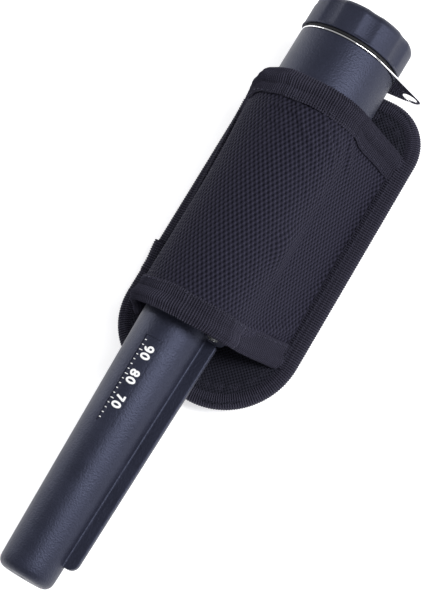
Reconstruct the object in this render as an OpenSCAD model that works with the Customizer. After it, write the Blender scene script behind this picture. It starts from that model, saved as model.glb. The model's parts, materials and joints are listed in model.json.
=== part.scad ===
// Handheld pinpointer probe, 9 V, standing in its belt holster.
// +Y points from the probe's tip to its battery cap, +X to the side with the
// button, lamp and scraper blade, and +Z up from the face the holster lies on.
// The origin is on that face, under the probe's axis.

/* [Handle] */
// Radius of the handle
handle_r = 19.7; // [19:0.1:21]
// Where the shoulder's wide end meets the handle, along Y
shoulder_y = -35; // [-40:0.5:-30]
// Where the shoulder's narrow end meets the tube, along Y
tube_y = -48; // [-52:0.5:-45]
// Rim of the handle, where the neck starts
rim_y = 69.4; // [68:0.1:72]
// End of the neck inside the cap
neck_end_y = 79.5; // [78.5:0.1:80]

/* [Probe tube] */
// Centre of the tube across the handle's axis
tube_x = -2.9; // [-3.2:0.1:-2]
// Y of the flat end of the tip
tip_y = -156; // [-165:1:-150]
// Radius of the tube at the shoulder
tube_r = 13.15; // [12.5:0.05:13.2]
// Radius of the tube at the tip
tip_r = 10.75; // [10.5:0.05:12]
// Rounding of the tip's edge
tip_round = 3.5; // [2:0.5:4]

/* [Scraper blade] */
// Thickness of the blade
blade_t = 2.4; // [1.6:0.1:3]
// Height of the blade over the tube
blade_h = 4.95; // [3:0.05:6]
// Where the blade's end near the tip is, along Y
blade_end_y = -145.7; // [-150:0.1:-140]

/* [Battery cap] */
// Radius over the cap's lobes
cap_r = 20.5; // [20.2:0.1:21]
// Open edge of the cap, along Y
cap_y = 71.4; // [71:0.1:72]
// Top of the cap, along Y
cap_top_y = 84; // [83.5:0.1:86]
// Number of finger flutes
flutes = 8; // [6:1:12]
// Depth of each flute
flute_depth = 0.7; // [0.3:0.1:0.8]

/* [Lanyard ring] */
// Thickness of the plate
ring_t = 1; // [0.8:0.1:1]
// Centre of the lanyard hole from the probe's axis
ring_hole_at = 28.1; // [27:0.1:30]
// Radius of the lanyard hole
ring_hole_r = 2.9; // [2:0.1:3.2]
// How far the tab hangs below level, in degrees
ring_droop = 25; // [0:1:30]

/* [Holster] */
// Width of the back panel
panel_w = 71; // [69:0.5:74]
// Lower end of the back panel, along Y
panel_low_y = -70.3; // [-75:0.1:-66]
// Upper end of the back panel, along Y
panel_top_y = 68.6; // [64:0.1:68.8]
// Lower edge of the pocket
pocket_low_y = -51.6; // [-54:0.1:-50]
// Upper edge of the pocket
pocket_top_y = 50.4; // [45:0.1:55]
// Width of the tape round the pocket's edges
tape_w = 9.8; // [7:0.1:11]
// Clear height inside the belt loop
loop_gap = 4.6; // [4.5:0.1:8]

/* [Hidden] */
$fn = 96;
eps = 0.01;
cut = 1;                                  // how far a cutting tool runs past a face

// Heights of the holster's layers
loop_t = 1.8;
binding_t = 0.6;
fabric_t = 1.2;
stiffener_t = 1.2;
face_t = 1.0;
binding_z = loop_t + loop_gap;
back_z = binding_z + binding_t;
stiffener_z = back_z + fabric_t;
face_z = stiffener_z + stiffener_t;
panel_top_z = face_z + face_t;
pocket_z = panel_top_z + binding_t;
axis_z = pocket_z + 0.8 + handle_r;       // the handle clears the binding by 0.8

// Holster outline
panel_x = 1.4;                            // the pocket is sewn a little off centre
panel_half = panel_w / 2;
top_corner_r = 16;
low_corner_r = 26;
binding_w = 9;
stiffener_inset = 4;
loop_w = 46;
loop_run = 40;                            // half of the loop's flat run
loop_rise = 6;
loop_land = 8;

// Pocket section
cover_in_r = handle_r + 1;
cover_t = 1.6;
cover_out_r = cover_in_r + cover_t;
tape_t = 0.6;
tape_in_t = 0.5;
foot_half = 31;                           // half the width between the pocket's feet
flange_half = 33.6;

// Housing
neck_r = 18.1;
thread_r = 18.55;
thread_y = 73.6;                          // first of the two ridges
thread_pitch = 3;
cap_bore_r = 18.9;
bore_r = 16.5;
inner_bore_r = 15.6;
ledge_y = 17;
bore_end_y = -41;
shoulder_end_r = 16.2;
tube_wall = 2.25;
tip_wall = 3.4;
blade_top_y = -50;
blade_corner_r = 3.2;
lamp_x = 12.9;
lamp_z = 3;                               // above the probe's axis
lens_r = 2.3;
button_y = -8;
button_r = 5.9;
slot_y = -20;

// Electronics
board_x = 3.2;
board_t = 1.6;
board_face_x = board_x + board_t;
board_wide = 13;
board_narrow = 6.5;
board_front_y = -70;
board_step_y = -38;
board_rear_y = 15;
carrier_x = -4.1;
carrier_t = 1.5;
screw_places = [[-33, -10.7], [11, 0]];   // Y, and height over the axis
screw_r = 1;
post_r = 2.2;
buzzer_l = 9.5;
motor_at = [8.6, -6.5];                   // X, and height over the axis
motor_y = -36;
motor_l = 11;
motor_r = 3;

// Search coil
rod_r = 4;
rod_y = -150;
rod_l = 70;
former_y = -146;
former_l = 62;
coil_l = 27;
lead_heights = [-2.6, -1.2, 1.2, 2.6];

// Battery bay: a PP3 block
battery_w = 26.5;
battery_d = 17.5;
battery_l = 46.4;
battery_y = 24.9;
terminal_l = 2.1;
terminal_apart = 12.7;
divider_t = 3;
lead_height = 9;

// Cap end
ring_y = rim_y + 0.1;
liner_y = neck_end_y + 0.1;
liner_t = 1.2;

// Puts children, modelled along +Z, on a line along +Y at (x, height over the axis)
module along_y(y, x = 0, height = 0) {
    translate([x, y, axis_z + height]) rotate([-90, 0, 0]) children();
}

// Puts children, modelled along +Z, on a line along +X from the given X
module along_x(x, y, height = 0) {
    translate([x, y, axis_z + height]) rotate([0, 90, 0]) children();
}

// A box from its low corner to its high corner, heights over the probe's axis
module axis_box(low, high) {
    translate([low[0], low[1], axis_z + low[2]]) cube(high - low);
}

// Points of an arc
function arc(centre, r, from, to, steps = 10) = [
    for (i = [0 : steps])
        let (a = from + (to - from) * i / steps)
        centre + r * [cos(a), sin(a)]
];

// Angle at which the tangent from a point touches a circle, on the given side
function tangent_angle(point, centre, r, side) =
    let (away = point - centre)
    atan2(away[1], away[0]) + side * acos(r / norm(away));

// ---------------------------------------------------------------- holster

// Outline of the back panel, drawn in by inset
module panel_outline(inset) {
    top_r = top_corner_r - inset;
    low_r = low_corner_r - inset;
    right = panel_x + panel_half - inset;
    left = panel_x - panel_half + inset;
    top = panel_top_y - inset;
    low = panel_low_y + inset;
    polygon(concat(
        arc([right - top_r, top - top_r], top_r, 0, 90),
        arc([left + top_r, top - top_r], top_r, 90, 180),
        arc([left + low_r, low + low_r], low_r, 180, 270),
        arc([right - low_r, low + low_r], low_r, 270, 360)));
}

module panel_layer(z, thickness, inset) {
    translate([0, 0, z]) linear_extrude(thickness) panel_outline(inset);
}

// Webbing loop: a flat run, a rise and a sewn-down end at each side
module belt_loop() {
    end_y = loop_run + loop_rise + loop_land;
    rise_y = loop_run + loop_rise;
    low_z = back_z - loop_t;
    lead = 0.8;                           // the rise stays as thick as the webbing
    half = [
        [loop_run, 0], [rise_y, low_z], [end_y, low_z], [end_y, back_z],
        [rise_y - lead, back_z], [loop_run - lead, loop_t]
    ];
    last = len(half) - 1;
    other_half = [for (i = [0 : last]) [-half[last - i][0], half[last - i][1]]];
    color("#15161b")
    translate([panel_x - loop_w / 2, 0, 0])
    rotate([90, 0, 90])
    linear_extrude(loop_w)
    polygon(concat(half, other_half));
}

module panel_back() {
    color("#17181f") panel_layer(back_z, fabric_t, binding_t);
}

module panel_stiffener() {
    color("#30323a") panel_layer(stiffener_z, stiffener_t, stiffener_inset);
}

// Inner lining, with a lip that closes round the stiffener
module panel_face() {
    color("#1b1b22") {
        panel_layer(face_z, face_t, binding_t);
        difference() {
            panel_layer(stiffener_z, stiffener_t, binding_t);
            translate([0, 0, -cut / 2])
                panel_layer(stiffener_z, stiffener_t + cut, stiffener_inset);
        }
    }
}

// Folded tape round the panel's edge
module panel_binding() {
    height = pocket_z - binding_z;
    color("#24242d")
    difference() {
        panel_layer(binding_z, height, 0);
        panel_layer(back_z, panel_top_z - back_z, binding_t);
        panel_layer(binding_z - cut, height + 2 * cut, binding_w);
    }
}

// Section of a sheet laid over the handle and sewn down at both feet. A cutting
// tool runs below the feet.
module drape(r, foot, below = 0) {
    centre = [0, axis_z];
    right = [panel_x + foot, pocket_z];
    left = [panel_x - foot, pocket_z];
    from = tangent_angle(right, centre, r, 1);
    to = tangent_angle(left, centre, r, -1);
    polygon(concat(
        [right - [0, below], right],
        arc(centre, r, from, to < from ? to + 360 : to, 36),
        [left, left - [0, below]]));
}

// Extrudes a section in X and Z from one Y to another
module along_pocket(from, to) {
    translate([0, to, 0]) rotate([90, 0, 0]) linear_extrude(to - from) children();
}

module pocket_cover() {
    color("#1c1c25")
    along_pocket(pocket_low_y + tape_t, pocket_top_y - tape_t)
    difference() {
        union() {
            drape(cover_out_r, foot_half + cover_t);
            for (side = [-1, 1])
                translate([panel_x + side * (foot_half + flange_half) / 2, pocket_z + cover_t / 2])
                    square([flange_half - foot_half, cover_t], center = true);
        }
        drape(cover_in_r, foot_half, cut);
    }
}

// Tape folded over one edge of the pocket; side is 1 at the top and -1 at the bottom
module edge_tape(edge_y, side) {
    inner_w = tape_w - 3;
    outer_end = edge_y - side * tape_w;
    inner_end = edge_y - side * inner_w;
    web_end = edge_y - side * tape_t;
    along_pocket(min(outer_end, edge_y), max(outer_end, edge_y))
        difference() {
            drape(cover_out_r + tape_t, foot_half + cover_t + tape_t);
            drape(cover_out_r, foot_half + cover_t, cut);
            tape_trim();
        }
    along_pocket(min(web_end, edge_y), max(web_end, edge_y))
        difference() {
            drape(cover_out_r + tape_t, foot_half + cover_t + tape_t);
            drape(cover_in_r - tape_in_t, foot_half - tape_in_t, cut);
            tape_trim();
        }
    along_pocket(min(inner_end, web_end), max(inner_end, web_end))
        difference() {
            drape(cover_in_r, foot_half);
            drape(cover_in_r - tape_in_t, foot_half - tape_in_t, cut);
        }
}

// Keeps the edge tapes off the sewn-down feet, which the seam tapes cover
module tape_trim() {
    for (side = [-1, 1])
        translate([panel_x + side * (foot_half + 10), pocket_z + cover_t / 2])
            square([20, cover_t + 2 * tape_t], center = true);
}

module pocket_top_tape() {
    color("#262630") edge_tape(pocket_top_y, 1);
}

module pocket_bottom_tape() {
    color("#262630") edge_tape(pocket_low_y, -1);
}

// Tape over both sewn-down feet
module seam_tapes() {
    high = pocket_z + cover_t;
    color("#22222b")
    along_pocket(pocket_low_y, pocket_top_y)
    for (side = [-1, 1])
        difference() {
            union() {
                translate([panel_x + side * (foot_half + flange_half + tape_t) / 2,
                           high + tape_t / 2])
                    square([flange_half + tape_t - foot_half, tape_t], center = true);
                translate([panel_x + side * (flange_half + tape_t / 2),
                           (pocket_z + high + tape_t) / 2])
                    square([tape_t, cover_t + tape_t], center = true);
            }
            drape(cover_out_r + tape_t, foot_half + cover_t + tape_t, cut);
        }
}

// ---------------------------------------------------------------- housing

function tube_r_at(y) = tube_r + (tip_r - tube_r) * (tube_y - y) / (tube_y - tip_y);

module handle_solid() {
    along_y(0) rotate_extrude()
        polygon([[0, tube_y], [shoulder_end_r, tube_y], [handle_r, shoulder_y],
                 [handle_r, rim_y], [neck_r, rim_y], [neck_r, neck_end_y], [0, neck_end_y]]);
}

module tube_solid() {
    along_y(0, tube_x) rotate_extrude()
        polygon(concat(
            [[0, tube_y + 2], [tube_r, tube_y + 2], [tube_r, tube_y]],
            arc([tip_r - tip_round, tip_y + tip_round], tip_round, 0, -90, 8),
            [[0, tip_y]]));
}

// Flat blade along the tube's side, with its two outer corners rounded
module blade_solid() {
    top_x = tube_x + tube_r_at(blade_top_y) + blade_h;
    end_x = tube_x + tube_r_at(blade_end_y) + blade_h;
    root = blade_t;                       // how deep the blade sits in the tube's wall
    top_round = 1.5;
    translate([0, 0, axis_z - blade_t / 2])
    linear_extrude(blade_t)
    polygon(concat(
        [[top_x - blade_h - root, blade_top_y]],
        arc([top_x - top_round, blade_top_y - top_round], top_round, 90, 0, 4),
        arc([end_x - blade_corner_r, blade_end_y + blade_corner_r], blade_corner_r, 0, -90, 6),
        [[end_x - blade_h - root, blade_end_y]]));
}

module thread_ridge(y) {
    half = 0.6;
    along_y(y) rotate_extrude()
        polygon([[neck_r - cut, -half], [neck_r, -half], [thread_r, 0],
                 [neck_r, half], [neck_r - cut, half]]);
}

// Rib that keeps the battery off the bore; it stops short of the cap's cushion
module battery_rib(x, side) {
    rib_t = 1.5;
    start = battery_d / 2 + 0.4;
    axis_box([x - rib_t / 2, battery_y - 1, side > 0 ? start : -bore_r - eps],
             [x + rib_t / 2, battery_y + battery_l - 2, side > 0 ? bore_r + eps : -start]);
}

module housing() {
    slots = 5;
    color("#1d1f28")
    difference() {
        union() {
            difference() {
                union() {
                    handle_solid();
                    tube_solid();
                    blade_solid();
                    for (i = [0 : 1]) thread_ridge(thread_y + thread_pitch * i);
                }
                along_y(ledge_y) cylinder(h = neck_end_y - ledge_y + cut, r = bore_r);
                along_y(bore_end_y) cylinder(h = ledge_y - bore_end_y + cut, r = inner_bore_r);
                along_y(tip_y + tip_wall, tube_x)
                    cylinder(h = bore_end_y - tip_y - tip_wall + cut,
                             r1 = tube_r_at(tip_y + tip_wall) - tube_wall + 0.2,
                             r2 = tube_r - tube_wall);
            }
            intersection() {
                for (x = [-6, 6], side = [-1, 1]) battery_rib(x, side);
                along_y(ledge_y) cylinder(h = neck_end_y - ledge_y, r = bore_r + 1);
            }
        }
        along_y(tube_y - cut, lamp_x, lamp_z)
            cylinder(h = bore_end_y - tube_y + 2 * cut, r = lens_r + 0.05);
        along_x(inner_bore_r - 3, button_y) cylinder(h = 10, r = button_r + 0.1);
        for (i = [0 : slots - 1])
            along_x(-handle_r - cut, slot_y + 3 * cos(360 * i / slots), 3 * sin(360 * i / slots))
                cylinder(h = handle_r - inner_bore_r + 2 * cut, r = 0.8);
    }
}

module led_lens() {
    dome = 1.2;
    color("#e8eef2")
    along_y(0, lamp_x, lamp_z) {
        translate([0, 0, tube_y - 0.4]) cylinder(h = 5, r = lens_r);
        translate([0, 0, tube_y - 0.4 - dome])
            cylinder(h = dome, r1 = lens_r - 0.9, r2 = lens_r);
    }
}

module led() {
    lead_r = 0.3;
    start = tube_y + 4.6;
    color("#f4f6ea") {
        along_y(start, lamp_x, lamp_z) cylinder(h = 6, r = 1.5);
        for (side = [-1, 1])
            along_x(board_face_x, start + 4, lamp_z + side * 0.8)
                cylinder(h = lamp_x - board_face_x - 1, r = lead_r);
    }
}

// Rubber button that slides in through the handle's wall, with a nib over the switch
module power_button() {
    nib_x = 12.3;
    nib_r = 1.5;
    flange_x = 12.6;
    flange_r = 7;
    flange_t = 0.9;
    crown_x = handle_r + 0.7;
    edge_r = 1;
    color("#0d0e12")
    along_x(0, button_y) rotate_extrude()
        polygon(concat(
            [[0, nib_x], [nib_r, nib_x], [nib_r, flange_x], [flange_r, flange_x],
             [flange_r, flange_x + flange_t], [button_r, flange_x + flange_t]],
            arc([button_r - edge_r, crown_x - edge_r], edge_r, 0, 90, 5),
            [[0, crown_x]]));
}

// ---------------------------------------------------------------- electronics

module screw_holes(x, length, r) {
    for (place = screw_places)
        along_x(x, place[0], place[1]) cylinder(h = length, r = r);
}

module circuit_board() {
    color("#1c5a38")
    difference() {
        union() {
            axis_box([board_x, board_step_y, -board_wide],
                     [board_face_x, board_rear_y, board_wide]);
            axis_box([board_x, board_front_y, -board_narrow],
                     [board_face_x, board_step_y + eps, board_narrow]);
        }
        screw_holes(board_x - cut, board_t + 2 * cut, screw_r + 0.15);
    }
}

// Sled that hangs from the divider and holds the board on two posts
module board_carrier() {
    post_x = carrier_x + carrier_t;
    color("#d9d6c8")
    difference() {
        union() {
            axis_box([carrier_x, board_step_y + 2, -board_wide], [post_x, ledge_y, board_wide]);
            screw_holes(post_x - eps, board_x - post_x + eps, post_r);
        }
        screw_holes(post_x, board_x - post_x + cut, screw_r + 0.02);
    }
}

module board_screws() {
    shank = 5;
    color("#b9bcc2")
    for (place = screw_places)
        along_x(board_face_x - board_t - shank + 0.4, place[0], place[1]) {
            cylinder(h = shank + board_t - 0.4, r = screw_r);
            translate([0, 0, shank + board_t - 0.4]) cylinder(h = 1.3, r = 1.9 * screw_r);
        }
}

// A package on the board's face: at is its Y and height over the axis
module package(at, size) {
    axis_box([board_face_x, at[0] - size[1] / 2, at[1] - size[2] / 2],
             [board_face_x + size[0], at[0] + size[1] / 2, at[1] + size[2] / 2]);
}

module tact_switch() {
    body = 3.2;
    stem_end_x = 11.45;
    color("#202226")
    union() {
        package([button_y, 0], [body, 6, 6]);
        along_x(board_face_x + body - eps, button_y)
            cylinder(h = stem_end_x - board_face_x - body + eps, r = 1.7);
    }
}

module microcontroller() {
    color("#18191c") package([-29, 6], [1.8, 10, 8]);
}

module amplifier_chip() {
    color("#18191c") package([-59, 0], [1.6, 6, 5]);
}

module capacitors() {
    color("#23305a")
    for (height = [-8, 0, 8])
        along_x(board_face_x, 3, height) cylinder(h = 6, r = 2);
}

module trimmer() {
    place = [-17.5, 8.5];
    body = 3.4;
    color("#2f62b5")
    union() {
        package(place, [body, 5, 5]);
        along_x(board_face_x + body - eps, place[0], place[1]) cylinder(h = 0.8 + eps, r = 1.4);
    }
}

module buzzer() {
    color("#141518")
    difference() {
        along_x(carrier_x - buzzer_l, slot_y) cylinder(h = buzzer_l, r = 6);
        along_x(carrier_x - buzzer_l - cut, slot_y) cylinder(h = 2 * cut, r = 1);
    }
}

module buzzer_gasket() {
    gasket_t = 0.6;
    gasket_x = carrier_x - buzzer_l - gasket_t;
    color("#3a3b3f")
    difference() {
        along_x(gasket_x, slot_y) cylinder(h = gasket_t, r = 5.6);
        along_x(gasket_x - cut, slot_y) cylinder(h = gasket_t + 2 * cut, r = 4.4);
    }
}

module motor() {
    color("#c2c5c9")
    difference() {
        along_y(motor_y, motor_at[0], motor_at[1]) cylinder(h = motor_l, r = motor_r);
        along_y(motor_y + motor_l - 6, motor_at[0], motor_at[1]) cylinder(h = 7, r = 0.55);
    }
}

// Cradle that clips the motor to the board, clear of the screw beside it
module motor_clip() {
    half = motor_r + 1;
    color("#3c3d42")
    difference() {
        axis_box([board_face_x, motor_y + motor_l / 2, motor_at[1] - half],
                 [motor_at[0], motor_y + motor_l - 1, motor_at[1] + half]);
        along_y(motor_y, motor_at[0], motor_at[1]) cylinder(h = motor_l, r = motor_r + 0.03);
    }
}

module motor_shaft() {
    color("#dfe2e5")
    along_y(motor_y + motor_l - 5, motor_at[0], motor_at[1]) cylinder(h = 9.5, r = 0.5);
}

// Half-round weight that spins off balance
module motor_weight() {
    weight_l = 3.6;
    weight_r = 3.3;
    hub_r = 1.1;
    color("#8f8a80")
    along_y(motor_y + motor_l + 0.8, motor_at[0], motor_at[1])
    difference() {
        union() {
            cylinder(h = weight_l, r = hub_r);
            intersection() {
                cylinder(h = weight_l, r = weight_r);
                translate([-weight_r, 0, 0]) cube([2 * weight_r, weight_r, weight_l]);
            }
        }
        translate([0, 0, -cut]) cylinder(h = weight_l + 2 * cut, r = 0.51);
    }
}

// ---------------------------------------------------------------- search coil

module ferrite_rod() {
    color("#3b3a3d") along_y(rod_y, tube_x) cylinder(h = rod_l, r = rod_r);
}

module coil_former() {
    flange_t = 1.5;
    flange_r = 7.6;
    middle = (former_l - flange_t) / 2;
    color("#e6e0cf")
    difference() {
        union() {
            along_y(former_y, tube_x) cylinder(h = former_l, r = rod_r + 1.05);
            for (y = [0, middle, former_l - flange_t])
                along_y(former_y + y, tube_x) cylinder(h = flange_t, r = flange_r);
        }
        along_y(former_y - cut, tube_x) cylinder(h = former_l + 2 * cut, r = rod_r + 0.05);
    }
}

module winding(y) {
    color("#b4652a")
    difference() {
        along_y(y, tube_x) cylinder(h = coil_l, r = 6.4);
        along_y(y - cut, tube_x) cylinder(h = coil_l + 2 * cut, r = rod_r + 1.05);
    }
}

module transmit_coil() { winding(former_y + 2); }

module receive_coil() { winding(former_y + former_l - 2 - coil_l); }

module coil_leads() {
    start = former_y + former_l;
    color("#c9772f")
    for (height = lead_heights)
        along_y(start, board_x + board_t / 2, height)
            cylinder(h = board_front_y - start, r = 0.3);
}

// Foam bush between the rod's end and the tube
module bush(y, length, r) {
    difference() {
        along_y(y, tube_x) cylinder(h = length, r = r);
        along_y(y - cut, tube_x) cylinder(h = length + 2 * cut, r = rod_r + 0.02);
    }
}

module front_bush() {
    color("#4a4b50") bush(rod_y, former_y - rod_y, 8.6);
}

module rear_bush() {
    start = former_y + former_l;
    notch = 1.6;
    color("#4a4b50")
    difference() {
        bush(start, rod_y + rod_l - start, 9.4);
        axis_box([board_x - notch, start - cut, -4], [board_x + 10, start + 10, 4]);
    }
}

// ---------------------------------------------------------------- battery bay

module battery_divider() {
    color("#26272c")
    difference() {
        along_y(ledge_y) cylinder(h = divider_t, r = bore_r - 0.1);
        for (side = [-1, 1])
            along_y(ledge_y - cut, board_x + board_t / 2, side * lead_height)
                cylinder(h = divider_t + 2 * cut, r = 0.9);
    }
}

module contact_block() {
    block_y = ledge_y + divider_t;
    color("#101114")
    axis_box([-7, block_y, -12], [7, battery_y - terminal_l - 0.5, 12]);
}

module contact_plates() {
    plate_y = battery_y - terminal_l - 0.5;
    color("#c9a544")
    for (side = [-1, 1])
        translate([0, plate_y, axis_z + side * terminal_apart / 2])
            translate([-4, 0, -4.5]) cube([8, 0.4, 9]);
}

module lead(side) {
    along_y(board_rear_y, board_x + board_t / 2, side * lead_height)
        cylinder(h = ledge_y + divider_t - board_rear_y, r = 0.6);
}

module red_lead() { color("#b3241f") lead(1); }

module black_lead() { color("#0b0b0d") lead(-1); }

module battery() {
    corner = 1.5;
    half_w = battery_w / 2 - corner;
    half_d = battery_d / 2 - corner;
    color("#5b6570")
    along_y(battery_y) linear_extrude(battery_l)
        union() {
            square([battery_w, 2 * half_d], center = true);
            square([2 * half_w, battery_d], center = true);
            for (x = [-1, 1], y = [-1, 1])
                translate([x * half_w, y * half_d]) circle(corner);
        }
}

// Small round terminal and larger socket terminal, facing the tip
module battery_terminals() {
    start = battery_y - terminal_l;
    color("#d0d2d4") {
        along_y(start, 0, -terminal_apart / 2) cylinder(h = terminal_l, r = 2.8);
        difference() {
            along_y(start, 0, terminal_apart / 2) cylinder(h = terminal_l, r = 3.7);
            along_y(start - cut, 0, terminal_apart / 2)
                cylinder(h = terminal_l + cut - 0.4, r = 2.9);
        }
    }
}

// ---------------------------------------------------------------- cap end

// Plate ring with a teardrop tab, whose sides run straight from ring to tab
module lanyard_ring() {
    outer_r = handle_r + 0.1;
    inner_r = neck_r + 0.65;
    tab_r = ring_hole_r + 1.7;
    tab = [ring_hole_at, 0];
    turn = acos((outer_r - tab_r) / ring_hole_at);
    color("#d5d8dc")
    along_y(ring_y) rotate(ring_droop) linear_extrude(ring_t)
        difference() {
            polygon(concat(
                arc([0, 0], outer_r, turn, 360 - turn, 48),
                arc(tab, tab_r, -turn, turn, 10)));
            circle(inner_r);
            translate(tab) circle(ring_hole_r);
        }
}

module cap_gasket() {
    start = ring_y + ring_t + 0.05;
    color("#08080a")
    difference() {
        along_y(start) cylinder(h = cap_y - start, r = handle_r - 0.4);
        along_y(start - cut) cylinder(h = cap_y - start + 2 * cut, r = neck_r + 0.02);
    }
}

module cap_liner() {
    color("#d8d8d2")
    along_y(liner_y) cylinder(h = liner_t, r = 17.5);
}

module cap_cushion() {
    start = battery_y + battery_l + 0.3;
    color("#2c2d31")
    along_y(start) cylinder(h = liner_y - start, r = 14);
}

module battery_cap() {
    round_r = 3;
    flute_r = 14;
    inner_top = liner_y + liner_t;
    color("#1d1f28")
    difference() {
        along_y(0) rotate_extrude()
            polygon(concat(
                [[0, cap_y], [cap_r - 0.4, cap_y], [cap_r, cap_y + 0.4]],
                arc([cap_r - round_r, cap_top_y - round_r], round_r, 0, 90, 8),
                [[0, cap_top_y]]));
        along_y(cap_y - cut) cylinder(h = inner_top - cap_y + cut, r = cap_bore_r);
        for (i = [0 : flutes - 1])
            along_y(cap_y + 1) rotate(360 * (i + 0.5) / flutes)
                translate([cap_r + flute_r - flute_depth, 0, 0])
                    cylinder(h = cap_top_y - cap_y, r = flute_r);
    }
}

belt_loop();
panel_back();
panel_stiffener();
panel_face();
panel_binding();
pocket_cover();
pocket_top_tape();
pocket_bottom_tape();
seam_tapes();
housing();
led_lens();
led();
power_button();
circuit_board();
board_carrier();
board_screws();
tact_switch();
microcontroller();
amplifier_chip();
capacitors();
trimmer();
buzzer();
buzzer_gasket();
motor();
motor_clip();
motor_shaft();
motor_weight();
ferrite_rod();
coil_former();
transmit_coil();
receive_coil();
coil_leads();
front_bush();
rear_bush();
battery_divider();
contact_block();
contact_plates();
red_lead();
black_lead();
battery();
battery_terminals();
cap_gasket();
lanyard_ring();
cap_cushion();
cap_liner();
battery_cap();
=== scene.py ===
"""Looks of the pinpointer probe and its belt holster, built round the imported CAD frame.

Shapes are worked out in millimetres, in the frame's own axes: +Y from the probe's tip to its
cap, +X to the side with the lamp and blade, +Z up from the face the holster lies on.
"""
import json
import math

import bmesh
import bpy
import numpy as np
from mathutils import Matrix, Vector


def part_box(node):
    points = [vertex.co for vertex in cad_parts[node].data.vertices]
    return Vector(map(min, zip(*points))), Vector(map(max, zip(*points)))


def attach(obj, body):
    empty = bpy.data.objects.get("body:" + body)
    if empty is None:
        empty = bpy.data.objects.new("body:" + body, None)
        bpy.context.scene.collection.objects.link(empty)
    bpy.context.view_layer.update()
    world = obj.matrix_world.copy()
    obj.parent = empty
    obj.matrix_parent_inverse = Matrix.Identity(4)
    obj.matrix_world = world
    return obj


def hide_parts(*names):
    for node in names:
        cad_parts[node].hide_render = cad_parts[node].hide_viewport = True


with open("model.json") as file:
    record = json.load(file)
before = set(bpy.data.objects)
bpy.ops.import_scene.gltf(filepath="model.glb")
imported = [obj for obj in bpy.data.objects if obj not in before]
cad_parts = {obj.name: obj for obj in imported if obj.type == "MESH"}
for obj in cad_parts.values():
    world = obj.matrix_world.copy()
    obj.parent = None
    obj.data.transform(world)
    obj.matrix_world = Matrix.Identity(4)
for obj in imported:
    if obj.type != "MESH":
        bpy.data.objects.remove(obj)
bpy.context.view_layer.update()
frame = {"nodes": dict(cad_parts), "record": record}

MM = 0.001
TURN = 2 * math.pi


def box_mm(node):
    """Lowest and highest corner of a CAD node, in millimetres."""
    low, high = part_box(node)
    return np.array(low) / MM, np.array(high) / MM


# ------------------------------------------------------------------ sizes, mm

liner_low, liner_high = box_mm("cap_liner")
AXIS_Z = (liner_low[2] + liner_high[2]) / 2
housing_low, housing_high = box_mm("housing")
HANDLE_R = -housing_low[0]
TIP_Y = housing_low[1]
NECK_END_Y = housing_high[1]
ring_low = box_mm("lanyard_ring")[0]
RIM_Y = ring_low[1] - 0.1
cap_low, cap_high = box_mm("battery_cap")
CAP_R = cap_high[0]
back_low, back_high = box_mm("panel_back")
stiffener_high = box_mm("panel_stiffener")[1]
face_high = box_mm("panel_face")[1]
binding_low, binding_high = box_mm("panel_binding")
loop_low, loop_high = box_mm("belt_loop")
pocket_low, pocket_high = box_mm("pocket_cover")
button_low, button_high = box_mm("power_button")
lens_low, lens_high = box_mm("led_lens")
battery_low, battery_high = box_mm("battery")

SHOULDER_Y = -35.0
TUBE_Y = -48.0
TUBE_X = -2.9
TUBE_R = 13.15
TIP_R = 10.75
TIP_ROUND = 3.5
SHOULDER_R = 16.2
NECK_R = 18.1
THREAD_H = 0.42
THREAD_PITCH = 3.0
BORE_R = 16.5
INNER_BORE_R = 15.6
LEDGE_Y = 17.0
BLADE_HALF_T = 1.2
BLADE_H = 4.95
BLADE_TOP_Y = -50.0
BLADE_END_Y = -145.7
BLADE_FILLET = 0.7
BLADE_EDGE = 0.45
BLADE_END_ROUND = 3.2
BLADE_TOP_ROUND = 1.5
WALL = 2.25
BORE_END_Y = -41.0
TIP_WALL = 3.4
GATE_DEPTH = 0.3
PANEL_TOP_R = 19.5
PANEL_LOW_R = (26.2, 29.3)
BINDING_W = 9.0
TAPE_T = 0.6
TAPE_W = 9.6
RIB_PITCH = 0.97
BEAD_PITCH = 0.95
WARP_PERIOD = 1.85
WEFT_PERIOD = 3.03
CLOTH_T = 1.1
CREASE_IN = 5.4
WEAVE_H = 0.2


def tube_radius(y):
    """Radius of the tapered tube at a Y."""
    return TUBE_R + (TIP_R - TUBE_R) * (TUBE_Y - y) / (TUBE_Y - TIP_Y)


# ------------------------------------------------------------------ mesh helpers


def add_object(name, data):
    """Puts new data into the scene as an object."""
    made = bpy.data.objects.new(name, data)
    bpy.context.scene.collection.objects.link(made)
    return made


def face_outwards(mesh, weld=0.0):
    """Turns a mesh's faces outwards, and first welds points closer than weld metres."""
    solid = bmesh.new()
    solid.from_mesh(mesh)
    if weld:
        bmesh.ops.remove_doubles(solid, verts=solid.verts, dist=weld)
    bmesh.ops.recalc_face_normals(solid, faces=solid.faces)
    solid.to_mesh(mesh)
    solid.free()


def shade_smooth(mesh, sharp):
    """Shades a mesh smooth, with edges over sharp degrees kept crisp."""
    mesh.polygons.foreach_set("use_smooth", [True] * len(mesh.polygons))
    mesh.set_sharp_from_angle(angle=math.radians(sharp))


def mesh_object(name, points, faces, material, sharp=40.0, cloth=None):
    """A smooth-shaded object from points in mm, with edges over sharp degrees kept crisp."""
    mesh = bpy.data.meshes.new(name)
    mesh.from_pydata((np.asarray(points, float) * MM).tolist(), [], [list(f) for f in faces])
    if cloth is not None:
        layer = mesh.attributes.new("cloth", "FLOAT_VECTOR", "POINT")
        layer.data.foreach_set("vector", np.asarray(cloth, np.float32).ravel())
    face_outwards(mesh)
    shade_smooth(mesh, sharp)
    mesh.materials.append(material)
    return add_object(name, mesh)


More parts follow.
